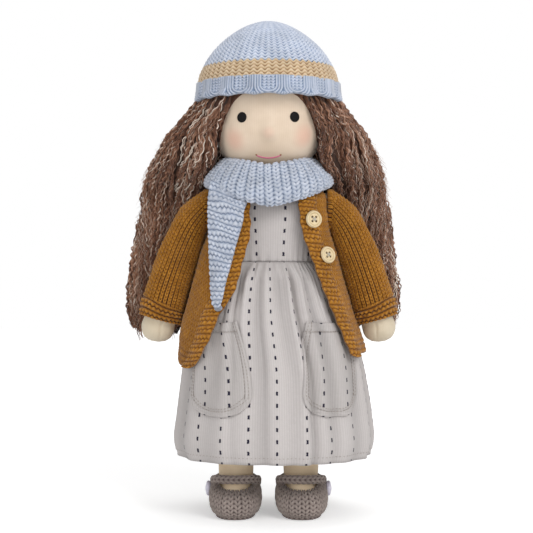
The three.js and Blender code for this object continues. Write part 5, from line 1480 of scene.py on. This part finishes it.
for side, sign in SIDES.items():
    body, place = f"leg_{side}", np.array([sign * LEG_X, 0, 0])
    grid = shoe_surface(SHOE_COLUMNS, SHOE_ROWS) + place
    u = np.arange(SHOE_COLUMNS) / 7
    steps = row_lengths(grid.transpose(1, 0, 2)).mean()
    height = stocking(u + 0.1 * np.sin(u), np.linspace(0, steps / SHOE_ROW_MM, SHOE_ROWS)[:, None])
    upper, _ = fabric(f"shoe_upper_{side}_crochet", grid, TAUPE_YARN, height, depth=2.2, thick=2.6, back_rows=12)
    finish_piece(upper, body, "crochet", f"shoe_upper_{side}")

    angle = even_angles(15, 33, SHOE_SQUARE, SOLE_COLUMNS)
    share = np.concatenate([np.linspace(0.04, 0.97, 26), [1.0, 1.02, 1.02, 1.0], np.linspace(0.97, 0.1, 10)])
    level = np.concatenate([np.full(26, 0.0), [0.4, 1.1, 2.2, 2.9], np.full(10, 3.2)])
    x, y = shoe_outline(angle, SOLE_Y, 32.2, 15.4, 0.10)
    loops = np.cos(SOLE_LOOPS * np.arange(SOLE_COLUMNS) * TURN / SOLE_COLUMNS) + 0 * share[:, None]
    rings = np.stack([x * share[:, None], SOLE_Y + (y - SOLE_Y) * share[:, None], level[:, None] + 0 * x], -1)
    rings[:26, :, 2] += 0.25 + 0.25 * np.cos(TURN * share[:26, None] * 8) * loops[:26]
    rings[26:30, :, :2] *= 1 + 0.018 * loops[26:30, :, None]
    # The sole's relief, low between its loops, gives painted shade there through the yarn's stops.
    sole = stuffed(f"shoe_sole_{side}_crochet", rings + place, [place + (0, SOLE_Y, 0.3), place + (0, SOLE_Y, 3.2)],
                   TAUPE_YARN, values={"relief": np.append(0.42 + 0.25 * loops.ravel(), [0.4, 0.4])})
    finish_piece(sole, body, "crochet", f"shoe_sole_{side}")
print("shoe uppers and soles ready")

# %% [markdown]
# The strap is a flat tube with two rows of stitches, whose ends dive into the upper. The pale button on the
# outer side is moulded: a low dome with a turned-over edge.


# %% Straps and shoe buttons
# Moulded plastic: a pearly, slightly cloudy body under a soft gloss, smooth enough to mirror the lamps.
LILAC = grained("moulded_lilac_plastic", 260.0, [(0.3, "#CFCADB"), (0.7, "#E2DEEC")],
                {"Roughness": 0.3, "Coat Weight": 0.4, "Coat Roughness": 0.2})
STRAP_PATH = [(-19.2, -8.0, 25.2), (-18.6, -11.5, 26.6), (-15.4, -17.6, 28.2), (-8, -22.4, 28.6), (0, -23.8, 28.7),
              (8, -22.4, 28.6), (15.4, -17.6, 28.2), (18.6, -11.5, 26.6), (19.2, -8.0, 25.2)]
SHOE_BUTTON = (21.4, -9.0, 19.6)
SHOE_BUTTON_PROFILE = [(0.5, -0.6), (5.6, -0.6), (6.0, 0.2), (6.1, 0.9), (5.8, 1.7), (5.0, 2.3), (4.2, 2.5),
                       (3.9, 2.35), (2.6, 2.9), (1.2, 3.2), (0.3, 3.25)]
for side, sign in SIDES.items():
    body, place = f"leg_{side}", np.array([sign * LEG_X, 0, 0])
    path, run = line_through(STRAP_PATH, 130)
    along = unit(np.gradient(path, axis=0))
    out = unit(np.cross(along, (0, 0, 1.0)))
    up = np.cross(out, along)
    angle = turns(44)
    thick_way, wide_way = 1.35 * power(np.cos(angle), 0.7), 3.1 * power(np.sin(angle), 0.7)
    rings = path[:, None] + out[:, None] * thick_way[:, None] + up[:, None] * wide_way[:, None]
    height = stocking(angle / TURN * 4 + 0.5, run[:, None] / 4.0)
    rings = rings + unit(rings - path[:, None]) * (1.2 * (height - 0.5))[..., None]
    strap = stuffed(f"shoe_strap_{side}_crochet", rings + place, [path[0] + place, path[-1] + place], TAUPE_YARN,
                    values={"relief": np.append(height.ravel(), [0.4, 0.4])})
    finish_piece(strap, body, "crochet", f"shoe_strap_{side}")

    angle = turns(56)
    r, lift = np.split(line_through(SHOE_BUTTON_PROFILE, 40)[0], 2, axis=1)
    x, y, z = SHOE_BUTTON
    rings = np.stack([x + lift + 0 * angle, y + r * np.cos(angle), z + r * np.sin(angle)], -1)
    rings = mirror(rings, sign) + place
    ends = mirror(np.array([(x - 0.6, y, z), (x + 3.25, y, z)]), sign) + place
    button = stuffed(f"shoe_button_{side}_plastic", rings, ends, LILAC)
    finish_piece(button, body, "lilac", f"shoe_button_{side}")
print("straps and shoe buttons ready")

# %% [markdown]
# ## Hair
#
# Crimped brown mohair, sewn in under the hat, hanging behind and beside the arms to below the elbows. It is
# made in three layers. A core with strand ridges fills the volume, painted dark for the shade deep in the
# hair. On and in its surface lie locks, each a bundle of four to eight fibres that crimp together every 6 to
# 8 mm and wander a little. Short, thin curls stand off the outline. Each fibre has its own tone, a few are
# lit up as pale painted glints, and painted glints run along them.

# %% Hair finish
def mohair(name, dark, middle, light, glint):
    """Mohair: the strand's tone and its relief choose the colour, so that low relief is painted shade, noise
    stretched along the fall of the hair adds pale painted glints, and the gloss is low but tighter than wool's."""
    material, tree = new_material(name)
    place = add(tree, "TexCoord").outputs["Object"]
    tone, relief = (add(tree, "Attribute", attribute_name=reading).outputs["Fac"] for reading in ("tone", "relief"))
    fall = add(tree, "Mapping", {"Vector": place, "Scale": (420, 420, 34)})
    streak = add(tree, "TexNoise", {"Vector": fall, "Scale": 1.0, "Detail": 4.0, "Roughness": 0.6})
    level = add(tree, "Math", {0: tone, 1: remap(tree, streak, 0.3, 0.7, -0.18, 0.18)}, operation="ADD")
    level = add(tree, "Math", {0: level, 1: relief}, operation="MULTIPLY", use_clamp=True)
    colour = colour_stops(tree, level, [(0.0, dark), (0.38, middle), (0.72, light), (1.0, glint)])
    bump = add(tree, "Bump", {"Height": streak, "Strength": 0.3, "Distance": 0.0003})
    return surface(material, {"Base Color": colour, "Roughness": 0.62, "Specular IOR Level": 0.35,
                              "Sheen Weight": 0.25, "Sheen Roughness": 0.4, "Normal": bump})


MOHAIR = mohair("crimped_mohair_brown", "#150C08", "#623C28", "#A0745A", "#EADBCC")

# %% The hair's volume
# Each row of a table holds a height, the points a, b and c of the mass in plan as x and y, and half its thickness.
HAIR_TOP_Z = 334.6
HAIR_SIDE = np.array([
    (336, 24.5, -41.5, 84, 9, 30, 49, 3.6), (320, 31.5, -37.5, 95, 8, 33, 50, 7.0),
    (305, 38, -28.5, 108, 8, 41, 50.5, 10.5), (290, 37.5, -25, 118, 12, 51, 52, 13),
    (276, 43, -10, 123, 20, 62, 53, 13.5), (264, 50, 12, 121, 30, 74, 51.5, 13), (251, 55, 26, 116, 36, 86, 49, 12.5),
    (237, 61, 34, 111, 38, 98, 46, 11.8), (215, 66, 36, 106, 37, 111, 42, 11.2),
    (190, 68, 37, 99, 37, 118, 39, 10.8), (160, 70, 38, 95, 38, 119, 38, 10.6), (136, 78, 38, 95, 38, 112, 38, 8),
])
HAIR_BACK = np.array([
    (336, -27, 51, 0, 61, 27, 51, 3.4), (320, -32, 53, 0, 64, 32, 53, 5.5), (300, -44, 54, 0, 65.4, 44, 54, 6.4),
    (280, -58, 57, 0, 65, 58, 57, 6), (250, -72, 58, 0, 65, 72, 58, 6), (230, -77, 57, 0, 62, 77, 57, 7),
    (200, -80, 58, 0, 62, 80, 58, 7.4), (170, -78, 61, 0, 63, 78, 61, 5.4), (142, -66, 64, 0, 66, 66, 64, 3.2),
])
# In the photograph the hair on the doll's left hangs closer to the arm: there X beyond 45 mm shrinks by 13 %.
HAIR_LEFT = HAIR_SIDE.copy()
closer = 1 - 0.13 * smooth_step(336 - HAIR_SIDE[:, 0], 0, 45)
for column in (1, 3, 5):
    HAIR_LEFT[:, column] = 45 + (HAIR_SIDE[:, column] - 45) * np.where(HAIR_SIDE[:, column] > 66, closer, 1)


def hair_point(table, s, t, z):
    """A point of a hanging mass by s along its arc (0 to 1), t through it (-1 inside, 1 outside) and height:
    the arc is the quadratic curve a(1-s)^2 + 2b s(1-s) + c s^2 in plan, with a, b and c through the table's
    rows, and t moves across it by the table's half thickness times the root of the sine of pi s."""
    ax, ay, bx, by, cx, cy, half = (through(z, table[:, 0], column) for column in table.T[1:])
    x = ax * (1 - s) ** 2 + 2 * bx * s * (1 - s) + cx * s**2
    y = ay * (1 - s) ** 2 + 2 * by * s * (1 - s) + cy * s**2
    dx = 2 * (bx - ax) * (1 - s) + 2 * (cx - bx) * s
    dy = 2 * (by - ay) * (1 - s) + 2 * (cy - by) * s
    size = np.hypot(dx, dy)
    across = t * half * np.sqrt(np.clip(np.sin(np.pi * np.clip(s, 0, 1)), 0, 1))
    return np.stack([x + across * dy / size, y - across * dx / size, z + 0 * x], -1)


def hair_core(name, table, sign, low_z, strand_mm, seed, columns=240):
    """The core, painted dark for the shade inside the hair: rings round the mass at each height, s there and back
    with t = 0.55 and -0.55, raised by strand ridges, with a ragged low edge and a hollow top."""
    rows = 66
    z = np.linspace(low_z, HAIR_TOP_Z, rows)[:, None]
    turn = turns(columns)
    s = 0.5 - 0.48 * np.cos(turn)
    t = 0.55 * np.sin(turn) / np.maximum(np.abs(np.sin(turn)) ** 0.6, 1e-6)
    ragged = 8.0 * drift(turn * 30, 0 * turn, seed, 12) + 5.0 * drift(turn * 30, 0 * turn, seed + 1, 3)
    z = z + ragged * (1 - smooth_step(z, low_z, low_z + 60))
    rings = hair_point(table, s, t, z)
    girth = np.linalg.norm(np.diff(rings[rows // 2], axis=0), axis=1).sum()
    u = turn / TURN * round(girth / strand_mm)
    height = strands(u, z + 0 * u, seed, 15.0, 0.5)
    rings = mirror(rings + normals(rings) * (2.6 * (height - 0.5))[..., None], sign)
    ends = [rings[0].mean(axis=0) + (0, 0, 2), rings[-1].mean(axis=0) - (0, 0, 7)]
    tone = np.random.default_rng(seed + 5).uniform(0.3, 0.72, 997)[np.floor(u).astype(int) % 997] + 0 * z
    # Low relief between the ridges and at the ends is painted shade.
    relief = 0.05 + 0.8 * height
    return stuffed(name, rings, ends, MOHAIR, values={"relief": np.append(relief.ravel(), [0.1, 0.1]),
                                                      "tone": np.append(tone.ravel(), [0.2, 0.2])})


def fibres(name, paths, sign, radius, tone):
    """Thin tubes along the paths, with the tone of each path's points."""
    points, faces = tubes(mirror(paths, sign), radius, 3, (0.2, 1, 0.1))
    tone = np.concatenate([np.repeat(tone, 3, axis=1), tone[:, :1], tone[:, -1:]], 1)
    return put_mesh(name, points, faces, MOHAIR, values={"tone": tone.ravel(), "relief": np.full(len(points), 0.95)})


def ringlets(name, table, sign, places, seed, low, count, steps, girth=3.0):
    """Locks: each is a bundle of fibres that turn slowly round one wandering middle line, places (s, t), and
    crimp together every 6 to 8 mm. Tone is drawn for each lock and each fibre, the crests are lighter as a
    painted highlight, and a few thin fibres reach the glint colour as painted glints."""
    pick = np.random.default_rng(seed)
    own = np.repeat(np.arange(len(places)), count)
    lock = pick.uniform(0, 1, (len(places), 10))[own][:, :, None]
    fibre = pick.uniform(0, 1, (len(own), 6))[:, :, None]
    fall = np.linspace(0, 1, steps)
    z = mix(HAIR_TOP_Z, mix(low[0], low[1], lock[:, 0]) + 9 * fibre[:, 0], fall)
    s = places[own, :1] + 0.016 * np.sin(TURN * (1.2 * fall + lock[:, 1])) \
        + 0.007 * np.sin(TURN * (3 * fall + lock[:, 2]))
    t = places[own, 1:] + 0.10 * np.sin(TURN * (1.6 * fall + lock[:, 3]))
    middle = hair_point(table, np.clip(s, 0.006, 0.994), t, z)
    length = np.cumsum(np.linalg.norm(np.gradient(middle, axis=1), axis=2), axis=1)
    along = unit(np.gradient(middle, axis=1))
    side = unit(np.cross(along, (0.25, 1, 0)))
    up = np.cross(along, side)
    turn = TURN * (fibre[:, 1] + length / mix(30, 55, lock[:, 4]) * np.sign(lock[:, 5] - 0.5))
    swell = smooth_step(length, -4, 26) * (0.85 + 0.15 * np.sin(TURN * length / 21 + 9 * lock[:, 6]))
    reach = girth * mix(0.7, 1.2, lock[:, 7]) * np.sqrt(fibre[:, 2]) * swell
    wave = TURN * (length / mix(5.6, 7.8, lock[:, 8]) * mix(0.97, 1.03, fibre[:, 4]) + 0.22 * fibre[:, 3] + lock[:, 9])
    size = mix(0.6, 1.2, fibre[:, 4]) * smooth_step(length, 0, 12) \
        * (0.75 + 0.25 * np.sin(TURN * length / 33 + 5 * lock[:, 0]))
    paths = middle + (reach * np.cos(turn) + size * np.sin(wave))[..., None] * side \
        + (reach * np.sin(turn) + 0.6 * size * np.cos(wave))[..., None] * up
    paths[..., 2] = np.minimum(paths[..., 2], HAIR_TOP_Z + 0.6)
    # These fibres are thinner and lit up to the glint colour: painted glints.
    pale = fibre[:, 5] > 0.84
    thin = 0.62 * mix(0.75, 1.2, (3 * fibre[:, 5]) % 1) * np.where(pale, 0.65, 1) \
        * np.minimum(1, 6 * (1.02 - fall)) ** 0.6
    # The sine of the wave lightens the crests of the crimp: a painted highlight.
    tone = 0.36 + 0.36 * lock[:, 6] + 0.36 * (fibre[:, 4] - 0.5) + 0.05 * np.sin(wave + 0.8) + 0.42 * pale
    return fibres(name, paths, sign, thin, np.clip(tone, 0.1, 1.1))


def frizz(name, table, sign, count, seed, low, steps=18):
    """Loose ends: short, thin curls that leave the locks' surface anywhere along them and stand off a little."""
    pick = np.random.default_rng(seed)
    own = pick.uniform(0, 1, (count, 8))[:, :, None]
    run = np.linspace(0, 1, steps)
    start = mix(0.03, 0.84, own[:, 0])
    z = mix(HAIR_TOP_Z, low, np.clip(start + 0.13 * run * mix(0.5, 1.3, own[:, 1]), 0, 1.02))
    s = np.clip(own[:, 2] + 0.05 * (own[:, 3] - 0.5) * run, 0.004, 0.996)
    t = (1.0 + mix(0.05, 0.38, own[:, 4]) * run) * np.where(own[:, 5] < 0.2, -1, 1)
    paths = hair_point(table, s, t, z)
    wave = TURN * (run * mix(2.5, 4.5, own[:, 6]) + own[:, 7])
    curl = np.stack([1.5 * np.sin(wave), 1.2 * np.cos(wave * 0.9), 0.8 * np.cos(wave * 1.1)], -1)
    paths = paths + curl * run[:, None] ** 0.5
    return fibres(name, paths, sign, 0.15 * (1.05 - run) ** 0.4, 0.6 + 0.35 * own[:, 7] + 0 * run)


def hang(piece, *nodes):
    """Hair hangs from the head and lies on the body. Its place is baked into its points, and the frame's parts
    that it stands for are hidden.
    """
    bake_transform(piece)
    if nodes:
        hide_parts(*nodes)


# %% Hanging hair
def lock_places(count, seed, t, s_from=0.0, s_to=1.0):
    """Places (s, t) for locks side by side, each moved a little."""
    pick = np.random.default_rng(seed)
    s = mix(s_from, s_to, (np.arange(count) + 0.5 + pick.uniform(-0.3, 0.3, count)) / count)
    return np.stack([s, t * pick.uniform(0.86, 1.04, count)], -1)


for side, sign in SIDES.items():
    seed, table, low = (100, HAIR_LEFT, (140, 166)) if sign > 0 else (200, HAIR_SIDE, (134, 160))
    hang(hair_core(f"hair_{side}_core", table, sign, low[0] + 14, 3.4, seed), f"hair_{side}")
    outside = lock_places(19, seed + 1, 0.86)
    between = lock_places(13, seed + 2, 0.5, 0.03, 0.97)
    inside = lock_places(9, seed + 3, -0.8, 0.03, 0.6)
    hang(ringlets(f"hair_{side}_locks_outer", table, sign, outside, seed + 10, low, 8, 140))
    hang(ringlets(f"hair_{side}_locks_inner", table, sign, np.concatenate([between, inside]), seed + 11, low, 6,
                  104))
    hang(frizz(f"hair_{side}_loose_ends", table, sign, 420, seed + 20, low[0] - 4))
hang(hair_core("hair_back_core", HAIR_BACK, 1, 154, 4.0, 300, 330), "hair_back")
for part in range(2):
    places = lock_places(17, 301 + part, 1.0, 0.5 * part, 0.5 + 0.5 * part)
    hang(ringlets(f"hair_back_locks_{part + 1}", HAIR_BACK, 1, places, 310 + part, (140, 166), 6, 104, 4.2))
hang(ringlets("hair_back_locks_inner", HAIR_BACK, 1, lock_places(12, 303, -1.3), 312, (140, 166), 4, 84, 3.4))
hang(frizz("hair_back_loose_ends", HAIR_BACK, 1, 220, 320, 138))
print("hanging hair ready")

# %% [markdown]
# Under the hat the hair lies flat on the scalp, combed from the crown down to the brim. It shows when the hat
# is lifted: strand ridges on a cap that leaves the face bare.

# %% Scalp hair
HAIRLINE_FRONT_Z, HAIRLINE_SIDE_Z, HAIRLINE_BACK_Z = 337.5, 300.0, 303.0
SCALP_COLUMNS, SCALP_ROWS, SCALP_STRANDS = 420, 80, 100


def scalp_surface():
    """The cap by angle and share of the way down: it starts at the crown and ends at the hairline, a slanted
    cut in front and a level one behind, 4 mm outside the head at most."""
    angle = turns(SCALP_COLUMNS)
    share = np.linspace(0, 1, SCALP_ROWS)[:, None]
    low_front = mix(HAIRLINE_FRONT_Z, HAIRLINE_SIDE_Z, smooth_step(np.sin(angle), -1.0, -0.35))
    low = mix(low_front, HAIRLINE_BACK_Z, smooth_step(np.sin(angle), -0.4, 0.2))
    low_share = np.arccos(np.clip((low - HEAD_Z) / HEAD_HALF, -1, 1) * np.abs((low - HEAD_Z) / HEAD_HALF) ** 0.2)
    polar = mix(low_share, 0.02, share)
    z = HEAD_Z + HEAD_HALF * power(np.cos(polar), 2 / HEAD_ROUND)
    off = 0.6 + 3.6 * smooth_step(share, 0.0, 0.25)
    radius = HEAD_RADIUS * power(np.sin(polar), 2 / HEAD_ROUND) + off * np.sin(polar)
    z = z + off * np.cos(polar)
    return round_grid(radius, angle, z), angle, share


scalp_grid, scalp_angle, scalp_share = scalp_surface()
scalp_u = SCALP_STRANDS * scalp_angle / TURN
scalp_height = strands(scalp_u + 0 * scalp_share, scalp_share * 90 + 0 * scalp_u, 400)
scalp_height *= smooth_step(1 - scalp_share, 0, 0.3)
inner = scalp_grid * [0.965, 0.965, 1] - [0, 0, 1.0]
outer = scalp_grid + normals(scalp_grid) * (1.4 * (scalp_height - 0.4))[..., None]
stack = np.concatenate([inner[::-8], inner[:1], outer])
lining = np.full((len(stack) - SCALP_ROWS, SCALP_COLUMNS), 0.3)
strand_tone = np.random.default_rng(401).uniform(0.35, 0.8, SCALP_STRANDS + 1)[np.floor(scalp_u).astype(int)]
tone = np.concatenate([lining, strand_tone + 0 * scalp_share])
relief = np.concatenate([lining, 0.3 + 0.6 * scalp_height])
scalp = stuffed("scalp_hair", stack, [inner[-1].mean(axis=0), outer[-1].mean(axis=0) + (0, 0, 0.4)], MOHAIR,
                values={"relief": np.append(relief.ravel(), [0.3, 0.5]), "tone": np.append(tone.ravel(), [0.4, 0.5])})
finish_piece(scalp, "head", "hair", "hair_cap")
print("scalp hair ready")

# %% [markdown]
# ## Finishes for the pieces inside
#
# The wool filling and the thread that ties the neck stay as the frame has them, with their own finishes.

# %% Finishes of the carried-over pieces
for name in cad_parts:
    piece = bpy.data.objects.get(name)
    if piece and piece.type == "MESH" and name.endswith(("filling", "filling_left", "filling_right", "core", "tie")):
        for slot in piece.material_slots:
            slot.material = THREAD if name == "neck_tie" else WHITE_WOOL
